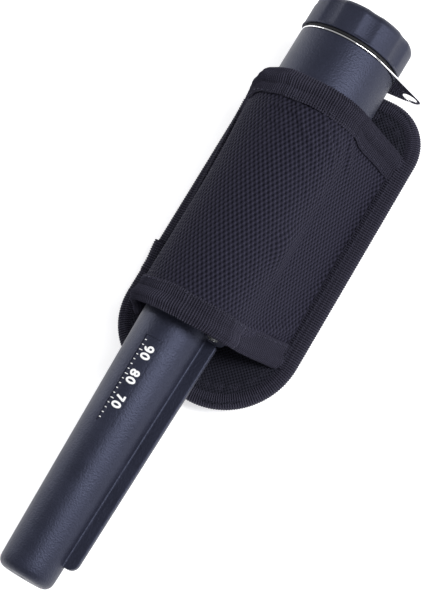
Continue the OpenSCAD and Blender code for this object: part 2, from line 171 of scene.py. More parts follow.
def grid_faces(rows, columns, wrap_rows=False, wrap_columns=False):
    """Quads over a grid of points numbered row by row."""
    row = np.arange(rows if wrap_rows else rows - 1)[:, None]
    column = np.arange(columns if wrap_columns else columns - 1)[None, :]
    next_row = (row + 1) % rows
    next_column = (column + 1) % columns
    corners = [
        row * columns + column,
        row * columns + next_column,
        next_row * columns + next_column,
        next_row * columns + column,
    ]
    return np.stack(corners, -1).reshape(-1, 4).tolist()


def shifted(faces, start):
    """Faces with every index moved up by start."""
    return [[start + i for i in face] for face in faces]


def flipped(faces):
    return [face[::-1] for face in faces]


def shell_faces(rows, columns):
    """Faces of a closed sheet: a grid, its flipped copy behind it, and the strip between their rims."""
    grid = grid_faces(rows, columns)
    count = rows * columns
    rim = [*range(columns), *[r * columns + columns - 1 for r in range(1, rows)],
           *[(rows - 1) * columns + c for c in range(columns - 2, -1, -1)],
           *[r * columns for r in range(rows - 2, 0, -1)]]
    strip = [[i, i + count, j + count, j] for i, j in zip(rim, rim[1:] + rim[:1])]
    return grid + shifted(flipped(grid), count) + strip


def loft(name, rings, first, last, material, sharp=40.0):
    """A closed solid through closed rings of equal length, with a fan to a point at each end."""
    rings = np.asarray(rings, float)
    count, size = rings.shape[:2]
    points = np.concatenate([rings.reshape(-1, 3), [first, last]])
    faces = grid_faces(count, size, wrap_columns=True)
    start, end = count * size, count * size + 1
    for i in range(size):
        j = (i + 1) % size
        faces.append([start, j, i])
        faces.append([end, (count - 1) * size + i, (count - 1) * size + j])
    return mesh_object(name, points, faces, material, sharp)


def sweep(name, sections, material, closed, sharp=40.0, cloth=None):
    """A solid through closed sections along a path, which either closes or gets flat ends."""
    sections = np.asarray(sections, float)
    count, size = sections.shape[:2]
    faces = grid_faces(count, size, wrap_rows=closed, wrap_columns=True)
    if not closed:
        faces.append(list(range(size)))
        faces.append([(count - 1) * size + i for i in reversed(range(size))])
    return mesh_object(name, sections.reshape(-1, 3), faces, material, sharp, cloth)


def lathe(name, profile, origin, axis, material, count=64, sharp=40.0):
    """Turns (radius, distance along the axis) pairs round an axis, 'x' or 'y'."""
    angles = np.linspace(0, TURN, count, endpoint=False)
    radius, along = np.asarray(profile, float).T
    first, second = radius[:, None] * np.cos(angles), radius[:, None] * np.sin(angles)
    run = along[:, None]
    rings = points_of(run, first, second) if axis == "x" else points_of(first, run, second)
    rings = rings + np.asarray(origin, float)
    return loft(name, rings, rings[0].mean(0), rings[-1].mean(0), material, sharp)


def arc(centre, radius, start, end, count):
    """Points of an arc, angles in degrees."""
    angle = np.radians(np.linspace(start, end, count))
    return np.stack([centre[0] + radius * np.cos(angle), centre[1] + radius * np.sin(angle)], -1)


def unit(vectors):
    return vectors / np.maximum(np.linalg.norm(vectors, axis=-1, keepdims=True), 1e-9)


def grid_normals(grid):
    """Unit normals of a grid of points."""
    return unit(np.cross(np.gradient(grid, axis=0), np.gradient(grid, axis=1)))


def smoothstep(value, low, high):
    share = np.clip((value - low) / (high - low), 0, 1)
    return share * share * (3 - 2 * share)


def travelled(path):
    """Distance from a path's start to each of its points."""
    return np.concatenate([[0], np.cumsum(np.linalg.norm(np.diff(path, axis=0), axis=1))])


def points_of(x, y, z=0.0):
    """Points from coordinates that are given in full, a row, a column or one number each."""
    return np.stack(np.broadcast_arrays(x, y, z), -1)


def upright(outline, y, centre_x=0.0):
    """Stands an (x, z) outline up at a Y, round the axis."""
    return points_of(outline[:, 0] + centre_x, y, outline[:, 1] + AXIS_Z)


def level(line, z):
    """Lays an (x, y) line at a height."""
    return points_of(line[:, 0], line[:, 1], z)


def resample(points, count):
    """Cubic resampling of the first axis to count even steps."""
    at = np.linspace(0, len(points) - 1, count)
    start = np.clip(np.floor(at).astype(int), 0, len(points) - 2)
    share = (at - start).reshape([-1] + [1] * (points.ndim - 1))
    before, here, there, after = (
        points[np.clip(start + k, 0, len(points) - 1)] for k in (-1, 0, 1, 2)
    )
    return 0.5 * (
        2 * here
        + (there - before) * share
        + (2 * before - 5 * here + 4 * there - after) * share**2
        + (3 * here - before - 3 * there + after) * share**3
    )


def resample_grid(grid, rows, columns):
    return resample(resample(grid, rows).swapaxes(0, 1), columns).swapaxes(0, 1)


def spaced(path, step, closed=False):
    """Points every step mm along a path, and the distance of each from its start."""
    path = np.asarray(path, float)
    if closed:
        path = np.concatenate([path, path[:1]])
    along = travelled(path)
    count = max(2, int(round(along[-1] / step)))
    at = np.linspace(0, along[-1], count + 1)
    if closed:
        at = at[:-1]
    return np.stack([np.interp(at, along, path[:, k]) for k in range(path.shape[1])], -1), at


# ------------------------------------------------------------------ material helpers

MATERIALS = {}


def shade(colour, factor):
    return tuple(min(1.0, c * factor) for c in colour)


class Finish:
    """A material being built: its node tree, its shader and the object's coordinates in mm."""

    def __init__(self, name):
        self.material = bpy.data.materials.new(name)
        self.material.use_nodes = True
        self.tree = self.material.node_tree
        self.tree.nodes.clear()
        self.shader = self.node("BsdfPrincipled")
        self.node("OutputMaterial", {"Surface": self.shader.outputs[0]})
        metres = self.node("TexCoord").outputs["Object"]
        self.place = self.node("VectorMath", {0: metres, "Scale": 1 / MM}, operation="SCALE").outputs[0]
        MATERIALS[name] = self.material

    def node(self, kind, inputs=None, **settings):
        """Adds a shader node; an input given as a socket is linked."""
        made = self.tree.nodes.new("ShaderNode" + kind)
        for name, value in settings.items():
            setattr(made, name, value)
        for name, value in (inputs or {}).items():
            if isinstance(value, bpy.types.NodeSocket):
                self.tree.links.new(value, made.inputs[name])
            else:
                made.inputs[name].default_value = value
        return made

    def math(self, operation, *values):
        return self.node("Math", dict(enumerate(values)), operation=operation).outputs[0]

    def mix(self, share, first, second):
        """Blends two colours, each a socket or a plain (red, green, blue)."""
        colours = [c if isinstance(c, bpy.types.NodeSocket) else (*c, 1) for c in (first, second)]
        return self.node("Mix", {0: share, 6: colours[0], 7: colours[1]}, data_type="RGBA").outputs[2]

    def between(self, share, low, high):
        return self.node("MapRange", {"Value": share, "To Min": low, "To Max": high}).outputs[0]

    def axes(self):
        """Object coordinates in mm, one socket each."""
        return self.node("SeparateXYZ", {0: self.place}).outputs

    def cloth_axes(self):
        """Distance across and along the cloth, in mm, from the piece's own attribute."""
        self.cloth = self.node("Attribute", attribute_name="cloth").outputs["Vector"]
        return self.node("SeparateXYZ", {0: self.cloth}).outputs[:2]

    def noise(self, scale, detail=3.0, place=None):
        """Noise from 0 to 1, with scale in cycles a mm."""
        inputs = {"Vector": place or self.place, "Scale": scale, "Detail": detail, "Roughness": 0.55}
        return self.node("TexNoise", inputs).outputs["Fac"]

    def stretched(self, place, scale):
        """Coordinates scaled unevenly, for grain and filaments."""
        return self.node("VectorMath", {0: place, 1: scale}, operation="MULTIPLY").outputs[0]

    def cosine(self, value, period):
        return self.math("COSINE", self.math("MULTIPLY", value, TURN / period))

    def half_up(self, wave):
        """Moves a wave from between -1 and 1 to between 0 and 1."""
        return self.math("MULTIPLY_ADD", wave, 0.5, 0.5)

    def link(self, value, name):
        self.tree.links.new(value, self.shader.inputs[name])

    def tint(self, share, colour, dark, light):
        """Lets the base colour run between two shades of a colour."""
        self.link(self.mix(share, shade(colour, dark), shade(colour, light)), "Base Color")

    def roughen(self, share, low, high):
        self.link(self.between(share, low, high), "Roughness")

    def fix(self, **values):
        for name, value in values.items():
            self.shader.inputs[name.replace("_", " ")].default_value = value

    def bump(self, *layers):
        """Chains bumps, each a height from 0 to 1 and its depth in mm."""
        normal = {}
        for height, depth in layers:
            inputs = {"Height": height, "Distance": depth * MM, "Strength": 1.0, **normal}
            normal = {"Normal": self.node("Bump", inputs).outputs[0]}
        self.link(normal["Normal"], "Normal")


# ------------------------------------------------------------------ materials

BLUE_GLOSS = (0.6, 0.66, 1.0, 1.0)
BLUE_SHEEN = (0.62, 0.6, 1.0, 1.0)


def moulded(name, colour, roughness, grain=0.012, mottle=(0.8, 1.2)):
    """Moulded plastic: fine spark texture, soft smudges and a few rubbed patches."""
    made = Finish(name)
    smudge = made.noise(0.09, 4.0)
    fine = made.noise(3.2, 2.0)
    pits = made.noise(1.45, 1.5)
    rubbed = made.math("SMOOTH_MAX", made.math("SUBTRACT", smudge, 0.55), 0.0, 0.1)
    speckle = made.math("MULTIPLY_ADD", pits, 0.5, made.math("MULTIPLY", smudge, 0.5))
    colours = made.mix(speckle, shade(colour, mottle[0]), shade(colour, mottle[1]))
    made.link(made.mix(rubbed, colours, shade(colour, 1.3)), "Base Color")
    made.roughen(smudge, roughness - 0.1, roughness + 0.1)
    made.fix(Specular_IOR_Level=0.5, Specular_Tint=BLUE_GLOSS)
    made.bump((pits, grain * 11), (fine, grain), (smudge, 0.05))
    return made.material


def rubber(name, colour):
    made = Finish(name)
    dust = made.noise(0.35, 5.0)
    made.tint(dust, colour, 0.8, 1.7)
    made.roughen(dust, 0.55, 0.8)
    made.fix(Specular_IOR_Level=0.35)
    made.bump((made.noise(4.0, 2.0), 0.01))
    return made.material


def metal(name, colour, roughness, depth=0.002):
    """Metal with a directional polish and faint handling marks."""
    made = Finish(name)
    lines = made.noise(1.4, place=made.stretched(made.place, (0.3, 6.0, 6.0)))
    made.tint(made.noise(0.5, 4.0), colour, 0.9, 1.05)
    made.roughen(lines, roughness * 0.7, roughness * 1.5)
    made.fix(Metallic=1.0)
    made.bump((lines, depth))
    return made.material


def clear(name, colour, roughness, transmission):
    made = Finish(name)
    haze = made.noise(1.1)
    made.tint(haze, colour, 0.94, 1.0)
    made.roughen(haze, roughness, roughness * 2.5)
    made.fix(Transmission_Weight=transmission, IOR=1.49)
    made.bump((haze, 0.004))
    return made.material


def foam(name, colour):
    made = Finish(name)
    cells = made.node("TexVoronoi", {"Vector": made.place, "Scale": 2.2}).outputs["Distance"]
    # painted shade: the colour darkens to half towards the middle of each cell, where the bump sinks a pit
    made.tint(cells, colour, 0.5, 1.4)
    made.fix(Roughness=0.95, Specular_IOR_Level=0.2)
    made.bump((cells, 0.12))
    return made.material


def winding(name, colour):
    """Enamelled wire: close turns along Y with uneven tension, and painted shade between the turns."""
    made = Finish(name)
    uneven = made.math("MULTIPLY", made.noise(0.8, 2.0), 0.25)
    turns = made.cosine(made.math("ADD", made.axes()[1], uneven), 0.34)
    # painted shade: the colour darkens in the grooves between the turns
    made.tint(made.between(turns, 0.35, 1.0), colour, 0.35, 1.2)
    made.fix(Metallic=0.85, Roughness=0.28, Coat_Weight=0.5, Coat_Roughness=0.15)
    made.bump((turns, 0.06))
    return made.material


def laminate(name, colour):
    """Solder mask over tracks that run along and across the board."""
    made = Finish(name)
    axes = made.axes()
    patch = made.noise(1.0, 1.0, made.stretched(made.place, (1.0, 0.25, 0.25)))
    both = made.math("MULTIPLY", made.cosine(axes[2], 1.27), made.cosine(axes[1], 2.54))
    tracks = made.math("GREATER_THAN", made.math("ADD", both, patch), 0.9)
    made.tint(tracks, colour, 1.0, 1.9)
    made.fix(Roughness=0.3, Coat_Weight=0.4, Coat_Roughness=0.1)
    made.bump((tracks, 0.035), (made.noise(6.0), 0.004))
    return made.material


def fabric(name, colour, sheen, layers, floor=0.35, specular=0.3, roughness=0.78):
    """Cloth whose relief is a stack of (function of the finish, depth in mm); the first also paints shade
    into the relief's grooves and holes and a highlight onto its crests.
    """
    made = Finish(name)
    heights = [(relief(made), depth) for relief, depth in layers]
    weave = heights[0][0]
    wear = made.between(made.noise(0.06, 4.0), 0.0, 0.3)
    painted_crest_highlight_noise = made.between(made.noise(1.6, 2.0), -0.35, 0.75)
    # painted highlight: the crests of the relief are lightened to 1.1 to 2.3 times the colour, varied by
    # noise
    high = made.mix(painted_crest_highlight_noise, shade(colour, 1.1), shade(colour, 2.3))
    # painted shade: the grooves and holes of the relief fall to floor times the colour, black where floor
    # is 0
    weave_with_painted_shade_and_highlight = made.mix(weave, shade(colour, floor), high)
    made.link(made.mix(wear, weave_with_painted_shade_and_highlight, shade(colour, 1.1)), "Base Color")
    made.roughen(weave, roughness + 0.12, roughness - 0.1)
    made.fix(Specular_IOR_Level=specular, Specular_Tint=BLUE_GLOSS)
    made.fix(Sheen_Weight=sheen, Sheen_Roughness=0.4, Sheen_Tint=BLUE_SHEEN)
    made.bump(*heights)
    return made.material


def basket_weave(made):
    """Height of the pocket's plain weave of thick yarns."""
    across, along = made.cloth_axes()
    both = made.math("MULTIPLY", made.cosine(across, WARP_PERIOD), made.cosine(along, WEFT_PERIOD))
    return made.between(made.half_up(both), 0.0, 1.0)


def filaments(scale):
    """Fine filaments that run along the yarns."""

    def relief(made):
        made.cloth_axes()
        return made.noise(1.0, 2.0, made.stretched(made.cloth, scale))

    return relief


def ribs(pitch):
    """Cross ribs of a tape, along the cloth's first axis."""

    def relief(made):
        across, along = made.cloth_axes()
        beads = made.math("MULTIPLY_ADD", made.cosine(along, BEAD_PITCH), 0.42, 0.58)
        return made.half_up(made.math("MULTIPLY", made.cosine(across, pitch), beads))

    return relief


def knit(pitch):
    """Open mesh: staggered round holes between knitted ribs."""

    def relief(made):
        across, along = made.cloth_axes()
        crossed = [made.cosine(made.math(kind, across, along), pitch) for kind in ("ADD", "SUBTRACT")]
        both = made.math("ADD", *crossed)
        return made.node("MapRange", {"Value": both, "From Min": 1.3, "From Max": -0.4}).outputs[0]

    return relief


def twill(pitch):
    """Diagonal floats that turn back at every stripe, as on strap webbing."""

    def relief(made):
        across, along = made.cloth_axes()
        folded = made.math("PINGPONG", across, 5.0)
        return made.half_up(made.cosine(made.math("ADD", folded, along), pitch))

    return relief


PLASTIC = (0.0125, 0.0135, 0.023)
NYLON = (0.008, 0.0075, 0.0125)

fabric(
    "webbing", (0.011, 0.0105, 0.016), 0.06, [(twill(1.6), 0.12), (filaments((5, 1, 1)), 0.02)]
)
fabric(
    "panel_fabric", NYLON, 0.05, [(twill(0.8), 0.05), (filaments((4, 4, 1)), 0.02)]
)
moulded("stiffener", (0.05, 0.05, 0.06), 0.6)
fabric(
    "lining_fabric", (0.0125, 0.012, 0.0165), 0.04,
    [(knit(1.55), 0.25), (filaments((5, 5, 1)), 0.03)], floor=0.15,
)
# floor 0: painted shade, black in the grooves between the ribs
fabric(
    "binding_tape", (0.0375, 0.0355, 0.0525), 0.04,
    [(ribs(RIB_PITCH), 0.26), (filaments((1, 6, 1)), 0.04)], floor=0.0, specular=0.12, roughness=0.62,
)
# floor 0: painted shade, black in the holes of the weave
fabric(
    "pocket_fabric", (0.0242, 0.0228, 0.037), 0.02,
    [(basket_weave, 0.18), (filaments((7, 1.2, 1)), 0.05)], floor=0.0, specular=0.09, roughness=0.68,
)
moulded("housing_plastic", PLASTIC, 0.46, 0.014, mottle=(0.2, 1.9))
moulded("cap_plastic", PLASTIC, 0.5, 0.01, mottle=(0.4, 1.6))
clear("clear_lens", (0.95, 0.97, 0.98), 0.04, 0.9)
clear("led_resin", (0.94, 0.94, 0.92), 0.12, 0.4)
rubber("black_rubber", (0.009, 0.009, 0.011))
laminate("board_laminate", (0.015, 0.1, 0.045))
moulded("natural_plastic", (0.55, 0.51, 0.41), 0.45)
metal("plated_steel", (0.6, 0.61, 0.63), 0.25)
moulded("component_black", (0.013, 0.013, 0.015), 0.42)
moulded("component_blue", (0.02, 0.06, 0.25), 0.3)
foam("grey_foam", (0.06, 0.06, 0.068))
metal("weight_alloy", (0.35, 0.34, 0.31), 0.4)
moulded("ferrite", (0.035, 0.034, 0.037), 0.35)
winding("copper_winding", (0.55, 0.19, 0.07))
metal("brass_contact", (0.7, 0.5, 0.2), 0.22)
moulded("red_insulation", (0.42, 0.02, 0.015), 0.3)
moulded("black_insulation", (0.008, 0.008, 0.009), 0.3)
moulded("battery_can", (0.1, 0.13, 0.17), 0.3, 0.004, mottle=(0.85, 1.15))
metal("polished_steel", (0.86, 0.86, 0.88), 0.09, depth=0.0006)
WHITE_INK = moulded("white_ink", (0.95, 0.96, 0.97), 0.5, 0.004, mottle=(0.93, 1.05))
LABEL_BAND = moulded("label_band", (0.3, 0.33, 0.36), 0.35, 0.004, mottle=(0.9, 1.1))
THREAD = fabric("sewing_thread", (0.02, 0.019, 0.026), 0.2, [(ribs(0.35), 0.05)])

for part in frame["record"]["subparts"]:
    for place in frame["nodes"][part["node"]].material_slots:
        place.material = MATERIALS[part["material_slot"]]


def settle_piece(piece, body, slot, *nodes):
    """Says which body a piece rides on and the CAD nodes it stands for, which it hides; slot, the piece's
    finish, is not used.
    """
    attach(piece, body)
    if nodes:
        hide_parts(*nodes)
    return piece


# ------------------------------------------------------------------ probe housing

ARC_POINTS = 150
BLADE_LEAST = 1.75
LEAST_BLADE_TUBE = 8.0


def blade_path(radius, height):
    """Half of the blade's section, from where its root leaves the tube to the middle of its edge."""
    half = BLADE_HALF_T
    root_x = math.sqrt((radius + BLADE_FILLET) ** 2 - (half + BLADE_FILLET) ** 2)
    leave = math.degrees(math.atan2(half + BLADE_FILLET, root_x))
    tip_x = radius + height
    fillet = arc((root_x, half + BLADE_FILLET), BLADE_FILLET, 180 + leave, 270, 7)
    side = np.stack([np.linspace(root_x, tip_x - BLADE_EDGE, 7)[1:-1], np.full(5, half)], -1)
    edge = arc((tip_x - BLADE_EDGE, half - BLADE_EDGE), BLADE_EDGE, 90, 0, 5)
    return np.concatenate([fillet, side, edge, [[tip_x, 0.0]]]), leave


def tube_ring(y, radius, centre_x, height=0.0):
    """Closed ring round the housing at a Y, with the blade standing height above the tube."""
    path, leave = blade_path(max(radius, LEAST_BLADE_TUBE), max(height, BLADE_LEAST))
    lower = path[:-1] * (1, -1)
    blade = np.concatenate([lower, path[::-1]])
    flat = arc((0, 0), radius, -leave, leave, len(blade))
    share = min(1.0, height / BLADE_LEAST)
    blade = flat + (blade - flat) * share
    body = arc((0, 0), radius, leave, 360 - leave, ARC_POINTS + 2)[1:-1]
    ring = np.concatenate([body, blade])
    return upright(ring, y, centre_x)


def tip_rings():
    gate_r = 1.3
    yield tube_ring(TIP_Y + GATE_DEPTH, gate_r - 0.35, TUBE_X)
    yield tube_ring(TIP_Y, gate_r, TUBE_X)
    for radius in np.linspace(2.5, TIP_R - TIP_ROUND, 4):
        yield tube_ring(TIP_Y, radius, TUBE_X)
    for angle in np.radians(np.linspace(82, 0, 10)):
        radius = TIP_R - TIP_ROUND + TIP_ROUND * math.cos(angle)
        yield tube_ring(TIP_Y + TIP_ROUND * (1 - math.sin(angle)), radius, TUBE_X)


def blade_height(y):
    """Height of the blade along the tube, with its two outer corners rounded."""
    height = BLADE_H
    into_end = BLADE_END_Y + BLADE_END_ROUND - y
    into_top = y - (BLADE_TOP_Y - BLADE_TOP_ROUND)
    for into, corner in ((into_end, BLADE_END_ROUND), (into_top, BLADE_TOP_ROUND)):
        if into > 0:
            height -= corner - math.sqrt(max(0.0, corner**2 - into**2))
    return height


def tube_rings():
    for y in np.linspace(TIP_Y + 4.2, BLADE_END_Y - 0.5, 4):
        yield tube_ring(y, tube_radius(y), TUBE_X)
    for share in (0.0, 0.5, 1.0):
        yield tube_ring(BLADE_END_Y, tube_radius(BLADE_END_Y), TUBE_X, BLADE_LEAST * share)
    run = np.concatenate([
        BLADE_END_Y + BLADE_END_ROUND * (1 - np.cos(np.radians(np.linspace(12, 90, 7)))),
        np.linspace(BLADE_END_Y + 5, BLADE_TOP_Y - 3, 36),
        BLADE_TOP_Y - BLADE_TOP_ROUND + BLADE_TOP_ROUND * np.sin(np.radians(np.linspace(0, 90, 6))),
    ])
    for y in run:
        yield tube_ring(y, tube_radius(y), TUBE_X, blade_height(y))
    top_r = tube_radius(BLADE_TOP_Y)
    for share in (1.6, 1.0, 0.4, 0.0):
        yield tube_ring(BLADE_TOP_Y, top_r, TUBE_X, BLADE_LEAST * share)
    yield tube_ring(TUBE_Y - 0.6, TUBE_R, TUBE_X)
    yield tube_ring(TUBE_Y - 0.1, TUBE_R + 0.05, TUBE_X)


def thread_rise(ring, y):
    """Lifts a neck ring by its helical thread ridge."""
    angle = np.arctan2(ring[:, 2] - AXIS_Z, ring[:, 0]) / TURN
    phase = ((y - RIM_Y) / THREAD_PITCH + angle) % 1.0 - 0.5
    starts = smoothstep(y, RIM_Y + 2.6, RIM_Y + 3.8)
    ends = smoothstep(y, NECK_END_Y - 1.8, NECK_END_Y - 0.8)
    lift = THREAD_H * np.clip(1.25 - np.abs(phase) / 0.16, 0, 1) * (starts * (1 - ends))
    return ring + unit(ring - (0, y, AXIS_Z)) * lift[:, None]


def handle_rings():
    for inset, rise in ((0.5, 0), (0.15, 0.12), (0, 0.5)):
        yield tube_ring(TUBE_Y + rise, SHOULDER_R - inset, 0)
    for share in np.linspace(0.08, 0.97, 9):
        y = TUBE_Y + (SHOULDER_Y - TUBE_Y) * share
        yield tube_ring(y, SHOULDER_R + (HANDLE_R - SHOULDER_R) * share, 0)
    for y in np.linspace(SHOULDER_Y + 0.6, RIM_Y - 0.6, 44):
        yield tube_ring(y, HANDLE_R, 0)
    rim = 0.4
    for angle in np.radians((0, 35, 65, 90)):
        yield tube_ring(RIM_Y - rim + rim * math.sin(angle), HANDLE_R - rim + rim * math.cos(angle), 0)
    yield tube_ring(RIM_Y, NECK_R + 0.15, 0)
    for y in np.linspace(RIM_Y + 0.15, NECK_END_Y - 0.5, 40):
        yield thread_rise(tube_ring(y, NECK_R, 0), y)
    for radius, y in ((NECK_R - 0.15, -0.15), (NECK_R - 0.5, 0), (BORE_R + 0.4, 0), (BORE_R, -0.4)):
        yield tube_ring(NECK_END_Y + y, radius, 0)


def bore_rings():
    for y in np.linspace(NECK_END_Y - 3, LEDGE_Y, 12):
        yield tube_ring(y, BORE_R, 0)
    for y in np.linspace(LEDGE_Y, BORE_END_Y, 8):
        yield tube_ring(y, INNER_BORE_R, 0)
    for y in np.linspace(BORE_END_Y, TIP_Y + TIP_WALL, 14):
        yield tube_ring(y, tube_radius(y) - WALL, TUBE_X)


def cylinder_cutter(radius, low, high, origin, axis, count=48):
    return lathe("cutter", [(radius, low), (radius, high)], origin, axis, WHITE_INK, count)


def recess_cutter():
    """Shallow recess in the top of the tube that holds the depth scale."""
    half_angle, depth, proud = 15.5, 0.28, 2.0
    start, end = SCALE_Y
    rings = []
    for y in np.linspace(start, end, 12):
        low, high = tube_radius(y) - depth, tube_radius(y) + proud
        inside = arc((0, 0), low, 90 - half_angle, 90 + half_angle, 20)
        outside = arc((0, 0), high, 90 + half_angle, 90 - half_angle, 20)
        rings.append(upright(np.concatenate([inside, outside]), y, TUBE_X))
    return sweep("cutter", rings, WHITE_INK, False)


def cut(piece, cutters):
    """Takes the cutters out of a piece."""
    for cutter in cutters:
        modifier = piece.modifiers.new("cut", "BOOLEAN")
        modifier.operation = "DIFFERENCE"
        modifier.solver = "EXACT"
        modifier.object = cutter
    graph = bpy.context.evaluated_depsgraph_get()
    made = bpy.data.meshes.new_from_object(piece.evaluated_get(graph))
    piece.modifiers.clear()
    piece.data = made
    for cutter in cutters:
        bpy.data.objects.remove(cutter)
    shade_smooth(made, 32)


SCALE_Y = (-95.5, -60.0)
BUTTON_Y = (button_low[1] + button_high[1]) / 2
BUTTON_R = 5.9
LAMP = (lens_low + lens_high) / 2
LENS_R = (lens_high[0] - lens_low[0]) / 2
SOUND_Y = -20.0


def housing_shell():
    rings = [*tip_rings(), *tube_rings(), *handle_rings(), *bore_rings()]
    first = (TUBE_X, TIP_Y + GATE_DEPTH, AXIS_Z)
    last = (TUBE_X, TIP_Y + TIP_WALL, AXIS_Z)
    shell = loft("housing_shell", rings, first, last, MATERIALS["housing_plastic"], 32)
    cutters = [
        cylinder_cutter(BUTTON_R + 0.1, INNER_BORE_R - 3, HANDLE_R + 3, (0, BUTTON_Y, AXIS_Z), "x"),
        cylinder_cutter(LENS_R + 0.08, TUBE_Y - 1, -38, (LAMP[0], 0, LAMP[2]), "y"),
        recess_cutter(),
    ]
    holes, hole_r, ring_r = 5, 0.8, 3
    for angle in np.linspace(0, TURN, holes, endpoint=False):
        origin = (0, SOUND_Y + ring_r * math.cos(angle), AXIS_Z + ring_r * math.sin(angle))
        cutters.append(cylinder_cutter(hole_r, -HANDLE_R - 1, -INNER_BORE_R + 1, origin, "x", 20))
    cut(shell, cutters)
    return settle_piece(shell, "probe", "housing_plastic", "housing")


def battery_ribs():
    """Four ribs that keep the battery square in its bay."""
    points, faces = [], []
    for x in (-6, 6):
        for side in (-1, 1):
            start = len(points)
            for y in (24.0, 69.0):
                for across, rise in ((-0.75, 9.2), (0.75, 9.2), (0.75, 15.6), (-0.75, 15.6)):
                    points.append((x + across, y, AXIS_Z + side * rise))
            faces += shifted([*grid_faces(2, 4, wrap_columns=True), [3, 2, 1, 0], [4, 5, 6, 7]], start)
    piece = mesh_object("battery_ribs", points, faces, MATERIALS["housing_plastic"])
    rounded = piece.modifiers.new("rounded", "BEVEL")
    rounded.width = 0.3 * MM
    rounded.segments = 2
    return settle_piece(piece, "probe", "housing_plastic")


housing_shell()
battery_ribs()

# ------------------------------------------------------------------ depth scale

STROKE = 0.8
DIGIT_H = 3.9
DIGIT_W = 2.5


def loop_stroke(centre, half_width, half_height, start=0, end=360):
    return centre + arc((0, 0), 1, start, end, 28) * (half_width, half_height)


def digit_strokes(digit):
    """Centre lines of a digit, in a cell DIGIT_W wide and DIGIT_H tall."""
    wide, tall = (DIGIT_W - STROKE) / 2, (DIGIT_H - STROKE) / 2
    middle = np.array((DIGIT_W / 2, DIGIT_H / 2))
    if digit == "0":
        return [loop_stroke(middle, wide, tall)]
    if digit == "7":
        return [middle + np.array([(-wide, tall), (wide, tall), (-wide * 0.3, -tall)])]
    lower = loop_stroke(middle - (0, tall * 0.46), wide, tall * 0.54)
    upper = loop_stroke(middle + (0, tall * 0.46), wide * 0.9, tall * 0.54)
    if digit == "8":
        return [lower, upper]
    round_top = loop_stroke(middle + (0, tall * 0.4), wide, tall * 0.6)
    tail = loop_stroke(middle - (0, tall * 0.1), wide, tall * 0.9, 20, -110)
    return [round_top, tail]


def ribbon(path, width, closed):
    """Flat ribbon solid along a path on the plane: rows of four corners (across, along, height)."""
    path, _ = spaced(path, 0.28, closed)
    if closed:
        direction = np.roll(path, -1, 0) - np.roll(path, 1, 0)
    else:
        direction = np.gradient(path, axis=0)
    aside = unit(direction)[:, ::-1] * (-1, 1) * width / 2
    low, high = 0.0, 1.0
    rows = [level(path + side * aside, height)
            for side, height in ((-1, low), (1, low), (1, high), (-1, high))]
    return np.stack(rows, 1)


def on_tube(flat, height=0.2):
    """Wraps (reading direction, up, lift) points on the recess in the tube: reads towards the tip."""
    y = SCALE_Y[1] - flat[..., 0]
    radius = tube_radius(y) - 0.3 + flat[..., 2] * height
    angle = (flat[..., 1] - DIGIT_H / 2) / tube_radius(y)
    return np.stack([TUBE_X + radius * np.sin(angle), y, AXIS_Z + radius * np.cos(angle)], -1)


def depth_scale():
    """White ticks every 2 mm, and the distance from the tip in mm every 10 mm."""
    points, faces = [], []

    def add(path, width, closed=False):
        rows = on_tube(ribbon(path, width, closed))
        start = len(points)
        points.extend(rows.reshape(-1, 3).tolist())
        made = grid_faces(len(rows), 4, wrap_rows=closed, wrap_columns=True)
        if not closed:
            made += [[0, 1, 2, 3], [len(rows) * 4 - k for k in (1, 2, 3, 4)]]
        faces.extend(shifted(made, start))

    for mark in (70, 80, 90):
        centre = SCALE_Y[1] - (TIP_Y + mark)
        gap = 0.55
        for k, digit in enumerate(str(mark)):
            corner = centre - DIGIT_W - gap / 2 + k * (DIGIT_W + gap)
            for stroke in digit_strokes(digit):
                closed = bool(np.allclose(stroke[0], stroke[-1]))
                add((stroke[:-1] if closed else stroke) + (corner, 0.55), STROKE, closed)
    for mark in range(62, 96, 2):
        along = SCALE_Y[1] - (TIP_Y + mark)
        length = 1.3 if mark % 10 == 0 else 0.7
        add(np.array([(along, -0.95), (along, -0.95 + length)]), 0.32)
    piece = mesh_object("depth_scale", points, faces, WHITE_INK, 50)
    return settle_piece(piece, "probe", "housing_plastic")


depth_scale()

# ------------------------------------------------------------------ cap, ring, lamp and button

RING_T = 0.62
FLUTES = 8
FLUTE_R = 14.0
FLUTE_DEPTH = 0.7


def flute_depth(angle):
    """How far the finger flutes cut into the cap at an angle, blended softly at their edges."""
    centre = CAP_R + FLUTE_R - FLUTE_DEPTH
    pitch = TURN / FLUTES
    off = (angle % pitch) - pitch / 2
    reach = np.maximum(FLUTE_R**2 - (centre * np.sin(off)) ** 2, 0)
    inside = CAP_R - (centre * np.cos(off) - np.sqrt(reach))
    inside = np.where(reach > 0, inside, -1.0)
    soft = 0.22
    return (inside + np.sqrt(inside**2 + soft**2)) / 2


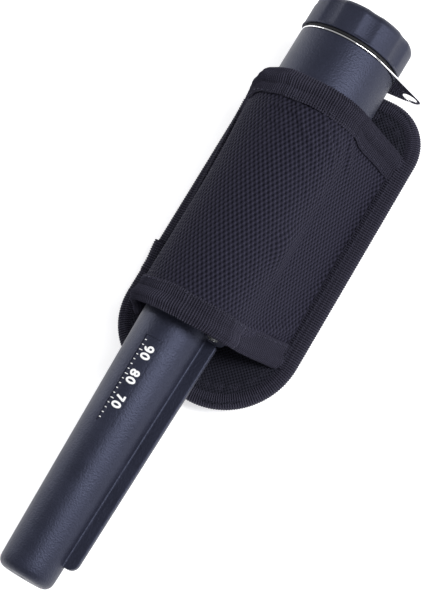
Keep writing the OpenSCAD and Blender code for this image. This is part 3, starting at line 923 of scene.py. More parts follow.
def cap_shell():
    angles = np.linspace(0, TURN, 320, endpoint=False)
    cuts = flute_depth(angles)
    open_y, top_y = cap_low[1], cap_high[1]
    inner_top = liner_high[1]
    bore, lip = 18.9, 0.35
    stations = [(inner_top, 17.0, 0), (inner_top, 18.5, 0), (inner_top - 0.3, bore, 0)]
    stations += [(y, bore, -1) for y in np.linspace(inner_top - 0.6, open_y + 0.6, 34)]
    stations += [(open_y + 0.1, bore + 0.25, 0), (open_y, bore + 0.5, 0), (open_y, CAP_R - lip - 0.1, 0)]
    stations += [(open_y + lip - lip * math.cos(a), CAP_R - lip + lip * math.sin(a), 0)
                 for a in np.radians((30, 60, 90))]
    stations += [(open_y + lip + 0.8 * s, CAP_R, s * s * (3 - 2 * s)) for s in np.linspace(0.1, 1, 7)]
    corner = 3.0
    stations += [(y, CAP_R, 1) for y in np.linspace(open_y + 1.6, top_y - corner - 0.3, 12)]
    stations += [(top_y - corner + corner * math.sin(a), CAP_R - corner + corner * math.cos(a), 1)
                 for a in np.radians(np.linspace(0, 90, 12))]
    stations += [(top_y, 16.6, 0.6), (top_y - 0.05, 16.1, 0.3), (top_y - 0.4, 15.6, 0), (top_y - 0.4, 8, 0)]
    rings = []
    for y, radius, weight in stations:
        if weight < 0:
            phase = ((y - RIM_Y) / THREAD_PITCH + angles / TURN) % 1.0 - 0.5
            radii = radius + 0.3 * np.clip(1.3 - np.abs(phase) / 0.2, 0, 1)
        else:
            radii = radius - weight * cuts
        rings.append(upright(np.stack([radii * np.cos(angles), radii * np.sin(angles)], -1), y))
    first = (0, inner_top, AXIS_Z)
    last = (0, top_y - 0.4, AXIS_Z)
    shell = loft("cap_shell", rings, first, last, MATERIALS["cap_plastic"], 35)
    return settle_piece(shell, "cap", "cap_plastic", "battery_cap")


def ring_plate():
    """Stamped ring with a teardrop tab, its edges broken all round."""
    outer, inner = HANDLE_R + 0.1, NECK_R + 0.65
    hole_at, hole_r = 28.1, 2.9
    tab_r = hole_r + 1.7
    droop = 25.0
    edge = 0.22
    meet = math.degrees(math.acos((outer - tab_r) / hole_at))
    outline = np.concatenate([
        arc((0, 0), outer, meet, 360 - meet, 120),
        arc((hole_at, 0), tab_r, -meet, meet, 40),
    ])
    curve = bpy.data.curves.new("ring_outline", "CURVE")
    curve.dimensions = "2D"
    curve.fill_mode = "BOTH"
    curve.extrude = (RING_T / 2 - edge) * MM
    curve.bevel_depth = edge * MM
    curve.bevel_resolution = 3
    curve.offset = -edge * MM
    for path in (outline, arc((0, 0), inner, 0, 357, 120), arc((hole_at, 0), hole_r, 0, 351, 40)):
        spline = curve.splines.new("POLY")
        spline.points.add(len(path) - 1)
        flat = np.column_stack([path * MM, np.zeros(len(path)), np.ones(len(path))])
        spline.points.foreach_set("co", flat.ravel())
        spline.use_cyclic_u = True
    drawn = add_object("ring_outline", curve)
    graph = bpy.context.evaluated_depsgraph_get()
    mesh = bpy.data.meshes.new_from_object(drawn.evaluated_get(graph))
    bpy.data.objects.remove(drawn)
    middle = ring_low[1] + RING_T / 2
    turn = Matrix.Rotation(math.radians(-droop), 4, "Z")
    stand = Matrix.Translation((0, middle * MM, AXIS_Z * MM)) @ Matrix.Rotation(math.radians(90), 4, "X")
    mesh.transform(stand @ turn)
    face_outwards(mesh, weld=1e-6)
    mesh.materials.clear()
    mesh.materials.append(MATERIALS["polished_steel"])
    shade_smooth(mesh, 30)
    piece = add_object("ring_plate", mesh)
    return settle_piece(piece, "ring", "polished_steel", "lanyard_ring")


def lamp_lens():
    """Domed lens with a flange inside the shoulder."""
    front, back = lens_low[1], lens_high[1]
    dome_h = 1.3
    profile = [(LENS_R * math.sin(a), front + dome_h * (1 - math.cos(a)))
               for a in np.radians((8, 20, 35, 50, 65, 80))]
    profile += [(LENS_R, front + 1.6), (LENS_R, back - 0.5), (LENS_R - 0.3, back)]
    piece = lathe("lamp_lens", profile, (LAMP[0], 0, LAMP[2]), "y", MATERIALS["clear_lens"], 40)
    return settle_piece(piece, "probe", "clear_lens", "led_lens")


def button_boot():
    """Rubber button: a flange inside the wall and a dished crown with three grip rings."""
    crown = button_high[0]
    stem_x, stem_r = button_low[0], 1.5
    flange_x, flange_r = 12.6, 7.0
    seat_x = flange_x + 0.9
    profile = [(stem_r - 0.3, stem_x), (stem_r, stem_x + 0.3), (stem_r, flange_x)]
    profile += [(flange_r - 0.2, flange_x), (flange_r, flange_x + 0.2), (flange_r, seat_x)]
    profile += [(BUTTON_R, seat_x), (BUTTON_R, crown - 1.2)]
    profile += [(BUTTON_R - 1 + math.cos(a), crown - 1 + math.sin(a))
                for a in np.radians((15, 35, 55, 75, 90))]
    for radius in np.linspace(4.6, 0.4, 36):
        ring = 0.16 * max(0.0, math.cos(TURN * (radius - 0.4) / 1.4))
        profile.append((radius, crown - 0.35 * (1 - (radius / BUTTON_R) ** 2) - 0.16 + ring))
    piece = lathe("button_boot", profile, (0, BUTTON_Y, AXIS_Z), "x", MATERIALS["black_rubber"], 72)
    return settle_piece(piece, "button", "black_rubber", "power_button")


def battery_ring(y, inset, corner=1.5, steps=6):
    """Rounded rectangle round the battery, pulled in by inset."""
    radius = max(corner - inset, 0.3)
    reach = (battery_high - battery_low)[[0, 2]] / 2 - inset - radius
    corners = [arc(reach * way, radius, 90 * turn, 90 * turn + 90, steps)
               for turn, way in enumerate(((1, 1), (-1, 1), (-1, -1), (1, -1)))]
    return upright(np.concatenate(corners), y)


def battery_part(name, stations, slot, *nodes, material=None):
    rings = np.array([battery_ring(y, inset) for y, inset in stations])
    piece = loft(name, rings, rings[0].mean(0), rings[-1].mean(0), material or MATERIALS[slot], 35)
    return settle_piece(piece, "battery_pack", slot, *nodes)


def battery_cell():
    """Steel jacket with a rolled seam at each end, an insulating plate under the snaps, a plain band."""
    front, back = battery_low[1], battery_high[1]

    def at_front(stations):
        return [(front + rise, inset) for rise, inset in stations]

    def at_back(stations):
        return [(back - rise, inset) for rise, inset in reversed(stations)]

    seam = [(0.45, 1.5), (0.4, 1.1), (0.08, 0.95), (0.0, 0.7), (0.06, 0.42), (0.3, 0.22)]
    seam += [(1.3, 0.2), (1.6, 0.5)]
    battery_part("battery_front_seam", at_front(seam), "plated_steel")
    battery_part("battery_back_seam", at_back(seam), "plated_steel")
    neck = [(1.4, 0.6), (1.55, 0.25)]
    sides = [(y, 0.1) for y in np.linspace(front + 1.9, back - 1.9, 12)]
    battery_part("battery_jacket", at_front(neck) + sides + at_back(neck), "battery_can", "battery")
    plate = [(0.25, 2.2), (0.25, 1.75), (0.37, 1.6), (0.6, 1.6)]
    battery_part("battery_top_plate", at_front(plate), "component_black")
    band = [(back - 17.0, 0.2), (back - 17.0, 0.05), (back - 4.0, 0.05), (back - 4.0, 0.2)]
    battery_part("battery_band", band, "battery_can", material=LABEL_BAND)


cap_shell()
ring_plate()
lamp_lens()
button_boot()
battery_cell()

# ------------------------------------------------------------------ cloth simulation

SIM_SCALE = 10.0


def simulate(points, faces, pins, settings, gravity=0.0, collider=None, cap=2.0, frames=20):
    """Runs Blender's cloth on points in mm; none ends further than cap from where it started."""
    scene = bpy.context.scene
    start = np.asarray(points, float)
    mesh = bpy.data.meshes.new("sim")
    mesh.from_pydata((start * MM * SIM_SCALE).tolist(), [], faces)
    cloth = bpy.data.objects.new("sim", mesh)
    scene.collection.objects.link(cloth)
    group = cloth.vertex_groups.new(name="pins")
    for index, weight in enumerate(pins):
        if weight > 0:
            group.add([index], float(weight), "REPLACE")
    helper = None
    if collider is not None:
        helper = collider()
        helper.modifiers.new("wall", "COLLISION")
        helper.collision.thickness_outer = 0.004
    modifier = cloth.modifiers.new("cloth", "CLOTH")
    for name, value in settings.items():
        setattr(modifier.settings, name, value)
    modifier.settings.vertex_group_mass = "pins"
    modifier.settings.effector_weights.gravity = gravity
    modifier.collision_settings.distance_min = 0.004
    modifier.collision_settings.use_collision = collider is not None
    modifier.point_cache.frame_start, modifier.point_cache.frame_end = 1, frames
    for number in range(1, frames + 1):
        scene.frame_set(number)
    graph = bpy.context.evaluated_depsgraph_get()
    moved = np.array([v.co for v in cloth.evaluated_get(graph).data.vertices]) / MM / SIM_SCALE
    for leftover in filter(None, (cloth, helper)):
        bpy.data.objects.remove(leftover)
    scene.frame_set(1)
    shift = moved - start
    length = np.linalg.norm(shift, axis=1, keepdims=True)
    return start + shift * np.minimum(1.0, cap / np.maximum(length, 1e-9))


# ------------------------------------------------------------------ holster panel

PANEL_LOW_Y = binding_low[1] + 1.7
PANEL_TOP_Y = binding_high[1]
PANEL_LEFT = (binding_low[0], binding_low[0])
PANEL_RIGHT = (binding_high[0] + 1.3, binding_high[0] + 0.7)


def panel_outline(inset, step):
    """Closed outline of the panel, and how far along it each point lies."""
    low, top = PANEL_LOW_Y + inset, PANEL_TOP_Y - inset
    top_r = PANEL_TOP_R - inset
    left_r, right_r = PANEL_LOW_R[0] - inset, PANEL_LOW_R[1] - inset
    low_left, top_left = PANEL_LEFT[0] + inset, PANEL_LEFT[1] + inset
    low_right, top_right = PANEL_RIGHT[0] - inset, PANEL_RIGHT[1] - inset
    path = np.concatenate([
        arc((low_left + left_r, low + left_r), left_r, 180, 270, 60),
        arc((low_right - right_r, low + right_r), right_r, 270, 360, 60),
        arc((top_right - top_r, top - top_r), top_r, 0, 90, 60),
        arc((top_left + top_r, top - top_r), top_r, 90, 180, 60),
    ])
    return spaced(path, step, closed=True)


def panel_side(y, inset, side):
    """X of the panel's outline at a Y, on its left side, 0, or its right side, 1."""
    low, top = PANEL_LOW_Y + inset, PANEL_TOP_Y - inset
    low_r, top_r = PANEL_LOW_R[side] - inset, PANEL_TOP_R - inset
    into_low = np.clip(low + low_r - y, 0, low_r)
    into_top = np.clip(y - (top - top_r), 0, top_r)
    ends = PANEL_RIGHT if side else PANEL_LEFT
    straight = np.interp(y, (low + low_r, top - top_r), ends)
    rounded = low_r - np.sqrt(low_r**2 - into_low**2) + top_r - np.sqrt(top_r**2 - into_top**2)
    return straight - (inset + rounded) * (1 if side else -1)


def panel_grid(z, rows, columns, inset=1.2):
    """A level grid of points that fills the panel's outline."""
    ease = (1 - np.cos(np.linspace(0, math.pi, rows))) / 2
    even = np.linspace(0, 1, rows)
    low, top = PANEL_LOW_Y + inset, PANEL_TOP_Y - inset
    y = low + (top - low) * (0.35 * ease + 0.65 * even)
    left, right = panel_side(y, inset, 0), panel_side(y, inset, 1)
    x = left[:, None] + (right - left)[:, None] * np.linspace(0, 1, columns)
    return points_of(x, y[:, None], z)


def swollen_panel(rows=64, columns=36):
    """Front and back of the padded panel after its cloth has swollen between its bound edges."""
    front = panel_grid(face_high[2], rows, columns)
    back = panel_grid(back_low[2], rows, columns)
    rim = np.zeros((rows, columns), bool)
    rim[0], rim[-1], rim[:, 0], rim[:, -1] = True, True, True, True
    points = np.concatenate([front.reshape(-1, 3), back.reshape(-1, 3)])
    count = rows * columns
    settings = {
        "quality": 8, "mass": 0.3, "use_pressure": True, "uniform_pressure_force": 4.0,
        "tension_stiffness": 15, "compression_stiffness": 15, "shear_stiffness": 8,
        "bending_stiffness": 0.6, "shrink_min": -0.015, "air_damping": 2,
    }
    pins = np.concatenate([rim.ravel(), rim.ravel()]).astype(float)
    settled = simulate(points, shell_faces(rows, columns), pins, settings, cap=0.7)
    return settled[:count].reshape(rows, columns, 3), settled[count:].reshape(rows, columns, 3)


def puckers(grid, depth, towards):
    """Small gathers where the cloth is caught under the binding."""
    x, y = grid[..., 0], grid[..., 1]
    aside = np.minimum(x - panel_side(y, 0, 0), panel_side(y, 0, 1) - x)
    edge = np.minimum(aside, np.minimum(y - PANEL_LOW_Y, PANEL_TOP_Y - y))
    around = np.arctan2(y, (x - (PANEL_LEFT[0] + PANEL_RIGHT[0]) / 2) * 1.8)
    wave = np.sin(around * 46) + 0.6 * np.sin(around * 29 + 1.3)
    near = smoothstep(edge, BINDING_W - 2, BINDING_W) * (1 - smoothstep(edge, BINDING_W, BINDING_W + 6))
    moved = grid.copy()
    moved[..., 2] += towards * depth * wave * near
    return moved


def slab(name, outside, inside, material, cloth_grid, sharp=60.0):
    """A closed sheet between two grids of the same size."""
    faces = shell_faces(*outside.shape[:2])
    points = np.concatenate([outside.reshape(-1, 3), inside.reshape(-1, 3)])
    cloth = np.concatenate([cloth_grid.reshape(-1, 3)] * 2)
    return mesh_object(name, points, faces, material, sharp, cloth)


def holster_panel():
    front, back = swollen_panel()
    front = puckers(resample_grid(front, 220, 124), 0.12, 1)
    back = puckers(resample_grid(back, 220, 124), 0.12, -1)
    lining_bottom = front.copy()
    lining_bottom[..., 2] = stiffener_high[2] + 0.05
    back_top = back.copy()
    back_top[..., 2] = back_high[2] - 0.05
    lining = slab("panel_lining", front, lining_bottom, MATERIALS["lining_fabric"], front * (1, 1, 0))
    settle_piece(lining, "holster", "lining_fabric", "panel_face")
    cloth = slab("panel_back_cloth", back, back_top, MATERIALS["panel_fabric"], back * (1, 1, 0))
    settle_piece(cloth, "holster", "panel_fabric", "panel_back")


def tape_section(outer_w, inner_w, core, thickness, roll=0.0):
    """Closed section of a tape folded over an edge: (distance in, height over the core's middle).

    The edge is a soft roll that stands roll mm proud, and the stitching sinks a crease behind it.
    """
    half = core / 2
    bend = 8

    def swell(d):
        crease = 0.45 * math.exp(-(((d - CREASE_IN) / 0.55) ** 2))
        return roll * (math.exp(-(((d - 2.3) / 2.0) ** 2)) - crease) * min(1.0, max(0.0, d - half) / 1.2)

    steps = np.linspace(0, outer_w - half, 24)
    outside = [(outer_w - d, half + thickness + swell(outer_w - d)) for d in steps]
    turn = np.linspace(0.1, math.pi - 0.1, bend)
    outer = half + thickness
    round_out = [(half - outer * math.sin(a), outer * math.cos(a)) for a in turn]
    under = [(d, -outer) for d in np.linspace(half, inner_w, 5)]
    inside_under = [(d, -half) for d in np.linspace(inner_w, half, 3)]
    round_in = [(half - half * math.sin(a), -half * math.cos(a)) for a in turn]
    inside = [(d, half) for d in np.linspace(half, outer_w, 4)]
    outside[0] = (outer_w, half + thickness * 0.5)
    section = np.array(outside + round_out + under + inside_under + round_in + inside)
    skin = np.zeros(len(section))
    skin[1 : len(outside) + bend + len(under) - 1] = 1
    return section, skin


def clear_of_handle(points, gap=0.05):
    """Presses what would sink into the handle back out onto its surface."""
    out = points[..., [0, 2]] - (0, AXIS_Z)
    radius = np.linalg.norm(out, axis=-1, keepdims=True)
    points[..., [0, 2]] = (0, AXIS_Z) + out * np.maximum(1, (HANDLE_R + gap) / radius)
    return points


def folded_tape(name, edge, inward, normal, along, section, skin, closed=False, rib_h=0.24, wander=0.0,
                on_handle=False):
    """Sweeps a folded tape along an edge, with cross ribs on its outer skin."""
    ribs_up = np.cos(TURN * along / RIB_PITCH) * rib_h
    drift = 1 + wander * np.sin(along * 0.21) * np.sin(along * 0.083 + 1.0)
    distance = section[None, :, 0] * (drift[:, None] ** (section[None, :, 0] > 4))
    way = unit(np.gradient(section, axis=0))
    out = np.stack([way[:, 1], -way[:, 0]], -1)
    rise = ribs_up[:, None] * skin[None, :]
    distance = distance + rise * out[None, :, 0]
    height = section[None, :, 1] + rise * out[None, :, 1]
    points = edge[:, None] + inward[:, None] * distance[..., None] + normal[:, None] * height[..., None]
    if on_handle:
        points = clear_of_handle(points)
    cloth = points_of(along[:, None], travelled(section)[None])
    return sweep(name, points, MATERIALS["binding_tape"], closed, 50, cloth.reshape(-1, 3))


BINDING_Z = (binding_low[2] + binding_high[2]) / 2
BINDING_T = binding_high[2] - binding_low[2]
BINDING_SHIFT = 0.6
UP = (0.0, 0.0, 1.0)


def edge_binding():
    outline, along = panel_outline(0.0, RIB_PITCH / 4)
    ahead = unit(np.roll(outline, -1, 0) - np.roll(outline, 1, 0))
    inward = points_of(-ahead[:, 1], ahead[:, 0])
    edge = level(outline, BINDING_Z)
    section, skin = tape_section(BINDING_W, BINDING_W, BINDING_T - 2 * TAPE_T, TAPE_T, 0.5)
    section[:, 0] += BINDING_SHIFT
    piece = folded_tape("edge_binding", edge, inward, np.tile(UP, (len(edge), 1)), along, section, skin,
                        closed=True, rib_h=0.13, wander=0.05)
    return settle_piece(piece, "holster", "binding_tape", "panel_binding")


def binding_overlap():
    """Where the binding's end is folded under and laps over its start, on the left side."""
    top, low = -20.5, -33.0
    y = np.arange(top, low, -RIB_PITCH / 5)
    proud = 0.2 + 1.0 * smoothstep(y, low + 3, top)
    edge = points_of(panel_side(y, 0, 0) - proud, y, BINDING_Z)
    inward, normal = np.tile((1.0, 0.0, 0.0), (len(y), 1)), np.tile(UP, (len(y), 1))
    width = BINDING_W + 0.8
    section, skin = tape_section(width, width, BINDING_T + 0.15, TAPE_T, 0.4)
    section[:, 0] += BINDING_SHIFT
    piece = folded_tape("binding_overlap", edge, inward, normal, top - y, section, skin)
    return settle_piece(piece, "holster", "binding_tape")


def stitches(name, paths, pitch=3.1, length=2.3, radius=0.24):
    """Rows of thread stitches; each path is points and the normals they stand on."""
    steps, sides = 12, 6
    points, faces, cloth = [], [], []
    rings = ((-0.5, 0.35, -0.5), (-0.4, 0.85, 0.2), (0.0, 1.0, 0.5), (0.4, 0.85, 0.2), (0.5, 0.35, -0.5))
    angles = np.linspace(0, TURN, sides, endpoint=False)
    last = (len(rings) - 1) * sides
    made = grid_faces(len(rings), sides, wrap_columns=True)
    made += [[*range(sides)], [last + i for i in reversed(range(sides))]]
    for path, normals in paths:
        both = np.concatenate([path, normals], 1)
        even, _ = spaced(both, pitch / steps)
        for k in range(steps // 2, len(even) - steps // 2, steps):
            way = unit(even[k + 3, :3] - even[k - 3, :3])
            up = unit(even[k, 3:])
            aside = np.cross(way, up)
            start = len(points)
            for run, size, lift in rings:
                centre = even[k, :3] + way * run * length + up * lift * radius
                for angle in angles:
                    points.append(centre + radius * size * (np.cos(angle) * aside + np.sin(angle) * up))
                    cloth.append((run * length, angle, 0))
            faces += shifted(made, start)
    piece = mesh_object(name, points, faces, THREAD, 60, cloth)
    return settle_piece(piece, "holster", "binding_tape")


def binding_stitches():
    """One row along the binding's inner edge on the front, and one on the back."""
    line, _ = panel_outline(BINDING_W - 0.9, 1.0)
    line = np.concatenate([line, line[:1]])
    up = np.tile(UP, (len(line), 1))
    front, back = level(line, binding_high[2] + 0.05), level(line, binding_low[2] - 0.05)
    stitches("binding_stitches", [(front, up), (back, -up)])


holster_panel()
edge_binding()
binding_overlap()
binding_stitches()

# ------------------------------------------------------------------ belt loop

LOOP_T = 1.8
LOOP_RUN = 40.0
LOOP_RISE = 6.0


def loop_height(y):
    """Height of the webbing's middle at a Y."""
    flat = loop_low[2] + LOOP_T / 2
    sewn = loop_high[2] - LOOP_T / 2
    return flat + (sewn - flat) * smoothstep(np.abs(y), LOOP_RUN, LOOP_RUN + LOOP_RISE)


def belt_webbing():
    low, high = loop_low[0], loop_high[0]
    y = np.linspace(loop_low[1], loop_high[1], 260)
    middle = np.column_stack([y, loop_height(y)])
    way = unit(np.gradient(middle, axis=0))
    half = LOOP_T / 2
    side = 0.9
    flat = np.linspace(low + side, high - side, 60)
    turn = np.radians(np.linspace(15, 165, 7))
    bulge = side * np.sin(turn)
    across = np.concatenate([flat, high - side + bulge, flat[::-1], low + side - bulge])
    level_side, round_side = np.full(60, half), half * np.cos(turn)
    lift = np.concatenate([level_side, round_side, -level_side, -round_side])
    cords = 0.07 * np.cos(TURN * across / 2.3) * np.sign(lift) * (np.abs(lift) > half * 0.99)
    lift = lift - np.abs(cords) * np.sign(lift)
    out = np.stack([-way[:, 1], way[:, 0]], -1)
    points = points_of(across[None], middle[:, :1] + out[:, :1] * lift, middle[:, 1:] + out[:, 1:] * lift)
    cloth = points_of(across[None], travelled(middle)[:, None])
    piece = sweep("belt_webbing", points, MATERIALS["webbing"], False, 50, cloth.reshape(-1, 3))
    settle_piece(piece, "holster", "webbing", "belt_loop")
    rows = []
    for side in (-1, 1):
        inner, outer = side * (LOOP_RUN + LOOP_RISE + 1.2), side * (loop_high[1] - 1.2)
        left, right = low + 2, high - 2
        box = [(left, inner), (right, inner), (right, outer), (left, outer), (left, inner)]
        for path in (box, [box[0], box[2]], [box[1], box[3]]):
            line, _ = spaced(path, 1.0)
            under = level(line, loop_high[2] - LOOP_T - 0.02)
            rows.append((under, -np.tile(UP, (len(line), 1))))
    stitches("loop_stitches", rows, 2.6, 2.0)


belt_webbing()

# ------------------------------------------------------------------ pocket

POCKET_Z = pocket_low[2]
FOOT_RIGHT = 31.8
FOOT_LEFT = (-25.6, -31.2)
POCKET_LOW_Y = pocket_low[1] + 0.9
POCKET_TOP_Y = pocket_high[1] - 0.9


def edge_lines(share):
    """Y of the pocket's lower and upper edges from its left foot, 0, to its right foot, 1."""
    low = np.interp(share, (0, 0.2, 0.4, 0.55, 0.7, 0.85, 1), (1.6, 0.6, -0.3, -0.3, 1.2, 4.2, 7.6))
    top = np.interp(share, (0, 0.2, 0.4, 0.6, 0.8, 1), (-5.4, -2.7, -0.5, 0.5, 0.9, 0.4))
    return POCKET_LOW_Y + low, POCKET_TOP_Y + top


def pocket_section(share_up, count):
    """Middle of the cloth at one height up the pocket: two straight legs and an arc over the handle."""
    radius = 20.65 + 2.1 * share_up**1.4 - 1.1 * (1 - smoothstep(share_up, 0.0, 0.16))
    radius -= 0.6 * smoothstep(share_up, 0.84, 1.0)
    centre = np.array((-1.5 * share_up**1.4, AXIS_Z - 0.2 * share_up))
    left = np.array((FOOT_LEFT[0] + (FOOT_LEFT[1] - FOOT_LEFT[0]) * share_up, POCKET_Z + CLOTH_T / 2))
    right = np.array((FOOT_RIGHT, POCKET_Z + CLOTH_T / 2))

    def touch(foot, side):
        away = foot - centre
        return math.atan2(away[1], away[0]) + side * math.acos(radius / np.hypot(*away))

    start, end = touch(right, 1), touch(left, -1)
    if end < start:
        end += TURN
    angle = np.linspace(end, start, 90)
    over = centre + radius * np.stack([np.cos(angle), np.sin(angle)], -1)
    path = np.concatenate([[left], over, [right]])
    along = travelled(path)
    at = np.linspace(0, along[-1], count)
    return np.stack([np.interp(at, along, path[:, k]) for k in (0, 1)], -1), along[-1]


def pocket_middle(rows=52, columns=64):
    """Grid over the middle of the pocket's cloth, rows from its lower to its upper edge."""
    share = np.linspace(0, 1, columns)
    low, top = edge_lines(share)
    ups = np.linspace(0, 1, rows)
    sections = [pocket_section(up, columns)[0] for up in ups]
    return np.array([points_of(section[:, 0], low + (top - low) * up, section[:, 1])
                     for section, up in zip(sections, ups)])


def smooth_rows(grid, passes=3):
    """Takes the kinks out of a grid's edges, across the columns."""
    for _ in range(passes):
        grid[:, 1:-1] = (grid[:, :-2] + 2 * grid[:, 1:-1] + grid[:, 2:]) / 4
    return grid


def handle_wall():
    """Stand-in for the handle that the cloth settles against, at the simulation's scale."""
    wall_r, low, high = HANDLE_R + 0.35, -60, 62
    helper = lathe("handle_wall", [(wall_r, low), (wall_r, high)], (0, 0, AXIS_Z), "y", WHITE_INK, 64)
    helper.data.transform(Matrix.Scale(SIM_SCALE, 4))
    return helper


def settled_pocket():
    grid = smooth_rows(pocket_middle())
    rows, columns = grid.shape[:2]
    pins = np.zeros((rows, columns))
    pins[:, 0], pins[:, -1] = 1, 1
    pins[0], pins[-1] = 0.9, 0.9
    settings = {
        "quality": 10, "mass": 0.25, "tension_stiffness": 20, "compression_stiffness": 20,
        "shear_stiffness": 6, "bending_stiffness": 1.2, "shrink_min": -0.012, "air_damping": 3,
    }
    settled = simulate(grid.reshape(-1, 3), grid_faces(rows, columns), pins.ravel(), settings,
                       gravity=0.6, collider=handle_wall, cap=1.6)
    return settled.reshape(rows, columns, 3)


def over_button(grid, gap=0.15, ease=8.0):
    """Lifts the cloth so it rides over the button's crown instead of through it."""
    away = np.hypot(grid[..., 1] - BUTTON_Y, grid[..., 2] - AXIS_Z)
    share = (1 - smoothstep(away, BUTTON_R, BUTTON_R + ease)) * (grid[..., 0] > 0)
    short = np.maximum(0, button_high[0] + CLOTH_T / 2 + gap - grid[..., 0])
    grid[..., 0] += short * share
    return grid


POCKET = over_button(settled_pocket())
POCKET_W = pocket_section(0.5, 64)[1]
POCKET_L = float(np.mean(np.diff(np.stack(edge_lines(np.linspace(0, 1, 50))), axis=0)))


def pocket_sheet():
    """Cloth with the relief of its weave on the outside and a plain inside."""
    steps, skip_x, skip_y = 6, 8, 4
    wide = int(round(POCKET_W / WARP_PERIOD * steps / skip_x)) * skip_x + 1
    tall = int(round(POCKET_L / WEFT_PERIOD * steps / skip_y)) * skip_y + 1
    middle = resample_grid(POCKET, tall, wide)
    normals = -grid_normals(middle)
    across = np.arange(wide) * WARP_PERIOD / steps
    along = np.arange(tall) * WEFT_PERIOD / steps
    weave = np.cos(TURN * across / WARP_PERIOD)[None] * np.cos(TURN * along / WEFT_PERIOD)[:, None]
    lift = CLOTH_T / 2 - WEAVE_H + WEAVE_H * weave
    outside = middle + normals * lift[..., None]
    inside = (middle - normals * CLOTH_T / 2)[::skip_y, ::skip_x]
    cloth = points_of(across[None], along[:, None])
    count = tall * wide
    rows, columns = inside.shape[:2]
    faces = grid_faces(tall, wide) + shifted(flipped(grid_faces(rows, columns)), count)
    for row, outer_row in ((0, 0), (rows - 1, tall - 1)):
        for k in range(columns - 1):
            coarse = [count + row * columns + k + 1, count + row * columns + k]
            faces.append(coarse + [outer_row * wide + skip_x * k + j for j in range(skip_x + 1)])
    for column, outer_column in ((0, 0), (columns - 1, wide - 1)):
        for k in range(rows - 1):
            coarse = [count + (k + 1) * columns + column, count + k * columns + column]
            faces.append(coarse + [(skip_y * k + j) * wide + outer_column for j in range(skip_y + 1)])
    points = np.concatenate([outside.reshape(-1, 3), inside.reshape(-1, 3)])
    cloth = np.concatenate([cloth.reshape(-1, 3), cloth[::skip_y, ::skip_x].reshape(-1, 3)])
    piece = mesh_object("pocket_sheet", points, faces, MATERIALS["pocket_fabric"], 70, cloth)
    return settle_piece(piece, "holster", "pocket_fabric", "pocket_cover")


def pocket_edge(top):
    """Edge of the pocket's cloth, the way into it and its normals, every fifth of a rib."""
    reach = 6
    rows = POCKET[::-1] if top else POCKET
    normals = -grid_normals(POCKET)
    normals = (normals[::-1] if top else normals)[0]
    line, inner = rows[0], rows[reach]
    both = np.concatenate([line, inner - line, normals], 1)
    fine = resample(both, 500)
    even, along = spaced(fine[:, :3], RIB_PITCH / 5)
    at = np.linspace(0, 1, len(fine))
    share = np.linspace(0, 1, len(even))
    rest = np.stack([np.interp(share, at, fine[:, k]) for k in range(3, 9)], -1)
    return even, unit(rest[:, :3]), unit(rest[:, 3:]), along


def pocket_binding(name, top, node_name):
    edge, inward, normal, along = pocket_edge(top)
    section, skin = tape_section(TAPE_W, TAPE_W - 3, CLOTH_T, TAPE_T, 0.8)
    section[:, 0] -= 0.3
    piece = folded_tape(name, edge, inward, normal, along, section, skin, wander=0.04, on_handle=top)
    settle_piece(piece, "holster", "binding_tape", node_name)
    row = edge + inward * (TAPE_W - 1.4) + normal * (CLOTH_T / 2 + TAPE_T + 0.05)
    return piece, (row, normal)


def seam_binding():
    """Ribbed tape folded over both sewn-down feet of the pocket."""
    points, faces, cloth = [], [], []
    rows = []
    for side in (0, -1):
        foot, along = spaced(POCKET[:, side], RIB_PITCH / 5)
        outward = -1 if side == 0 else 1
        wide, tall = 1.75, 1.7
        angles = np.linspace(0, math.pi, 15)
        profile = np.stack([np.cos(angles) * wide, np.sin(angles) ** 0.7 * tall], -1)
        profile = np.concatenate([profile, [(-wide * 0.6, -0.35), (0, -0.4), (wide * 0.6, -0.35)]])
        lift = 1 + 0.2 * np.cos(TURN * along / RIB_PITCH)
        start = len(points)
        size = len(profile)
        base = points_of(foot[:, 0] + outward * 0.5, foot[:, 1], POCKET_Z)
        for centre, scale, run in zip(base, lift, along):
            for x, z in profile:
                swell = scale if z > 0 else 1
                points.append((centre[0] + x * swell, centre[1], centre[2] + z * swell))
                cloth.append((run, x, 0))
        made = grid_faces(len(base), size, wrap_columns=True)
        made += [list(range(size)), [(len(base) - 1) * size + i for i in reversed(range(size))]]
        faces += shifted(made, start)
        for shift in (-0.7, 0.8):
            height = POCKET_Z + tall * math.sin(math.acos(shift / wide)) ** 0.7 + 0.02
            row = level(base[:, :2] + (shift, 0), height)
            rows.append((row, np.tile((shift * 0.3, 0.0, 1.0), (len(row), 1))))
    piece = mesh_object("seam_binding", points, faces, MATERIALS["binding_tape"], 50, cloth)
    settle_piece(piece, "holster", "binding_tape", "seam_tapes")
    return piece, rows


sheet = pocket_sheet()
top_tape, top_row = pocket_binding("pocket_top_binding", True, "pocket_top_tape")
bottom_tape, bottom_row = pocket_binding("pocket_bottom_binding", False, "pocket_bottom_tape")
seams, seam_rows = seam_binding()
sewn = stitches("pocket_stitches", [top_row, bottom_row, *seam_rows])

# ------------------------------------------------------------------ floor, light and camera


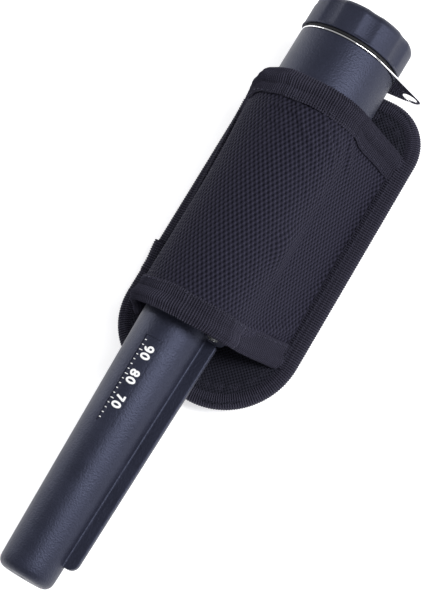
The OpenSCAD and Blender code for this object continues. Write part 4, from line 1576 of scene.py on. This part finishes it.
def stage_floor():
    """Pale paper that glows a little, so that shadows on it stay faint."""
    mesh = bpy.data.meshes.new("floor")
    reach = 3.0
    corners = [(-reach, -reach, 0), (reach, -reach, 0), (reach, reach, 0), (-reach, reach, 0)]
    mesh.from_pydata(corners, [], [(0, 1, 2, 3)])
    paper = Finish("floor")
    pale = (0.93, 0.93, 0.94, 1)
    paper.fix(Base_Color=pale, Roughness=0.9, Specular_IOR_Level=0.1)
    paper.fix(Emission_Color=pale, Emission_Strength=0.6)
    mesh.materials.append(paper.material)
    add_object("floor", mesh)


def softbox(name, place, target, size, power):
    light = bpy.data.lights.new(name, "AREA")
    light.shape = "RECTANGLE"
    light.size, light.size_y = size
    light.energy = power
    lamp = add_object(name, light)
    lamp.location = place
    lamp.rotation_mode = "QUATERNION"
    lamp.rotation_quaternion = (Vector(target) - Vector(place)).to_track_quat("-Z", "Y")


def studio():
    world = bpy.data.worlds.new("studio")
    world.use_nodes = True
    colour, strength = world.node_tree.nodes["Background"].inputs[:2]
    colour.default_value = (1, 1, 1, 1)
    strength.default_value = 0.42
    bpy.context.scene.world = world
    bpy.context.scene.view_settings.view_transform = "Standard"
    middle = (0, -0.03, 0.03)
    softbox("key", (0.82, 0.2, 0.82), middle, (0.36, 1.1), 14)
    softbox("side", (-1.1, 0.15, 0.28), middle, (0.25, 0.9), 4.4)


def camera():
    """Looks down on the holster from the tip's side, turned so that the cap is up and to the right."""
    place = Vector((0.2757, -0.2003, 0.8348))
    target = Vector((0.00254, -0.0342, 0.0315))
    roll = math.radians(-31.13)
    ahead = (target - place).normalized()
    right = ahead.cross(Vector((math.sin(roll), math.cos(roll), 0))).normalized()
    up = right.cross(ahead)
    data = bpy.data.cameras.new("camera")
    data.lens = 145.5
    data.sensor_width = 36
    data.clip_start, data.clip_end = 0.05, 20
    made = add_object("camera", data)
    made.matrix_world = Matrix.Translation(place) @ Matrix((right, up, -ahead)).transposed().to_4x4()
    bpy.context.scene.camera = made


stage_floor()
studio()
camera()
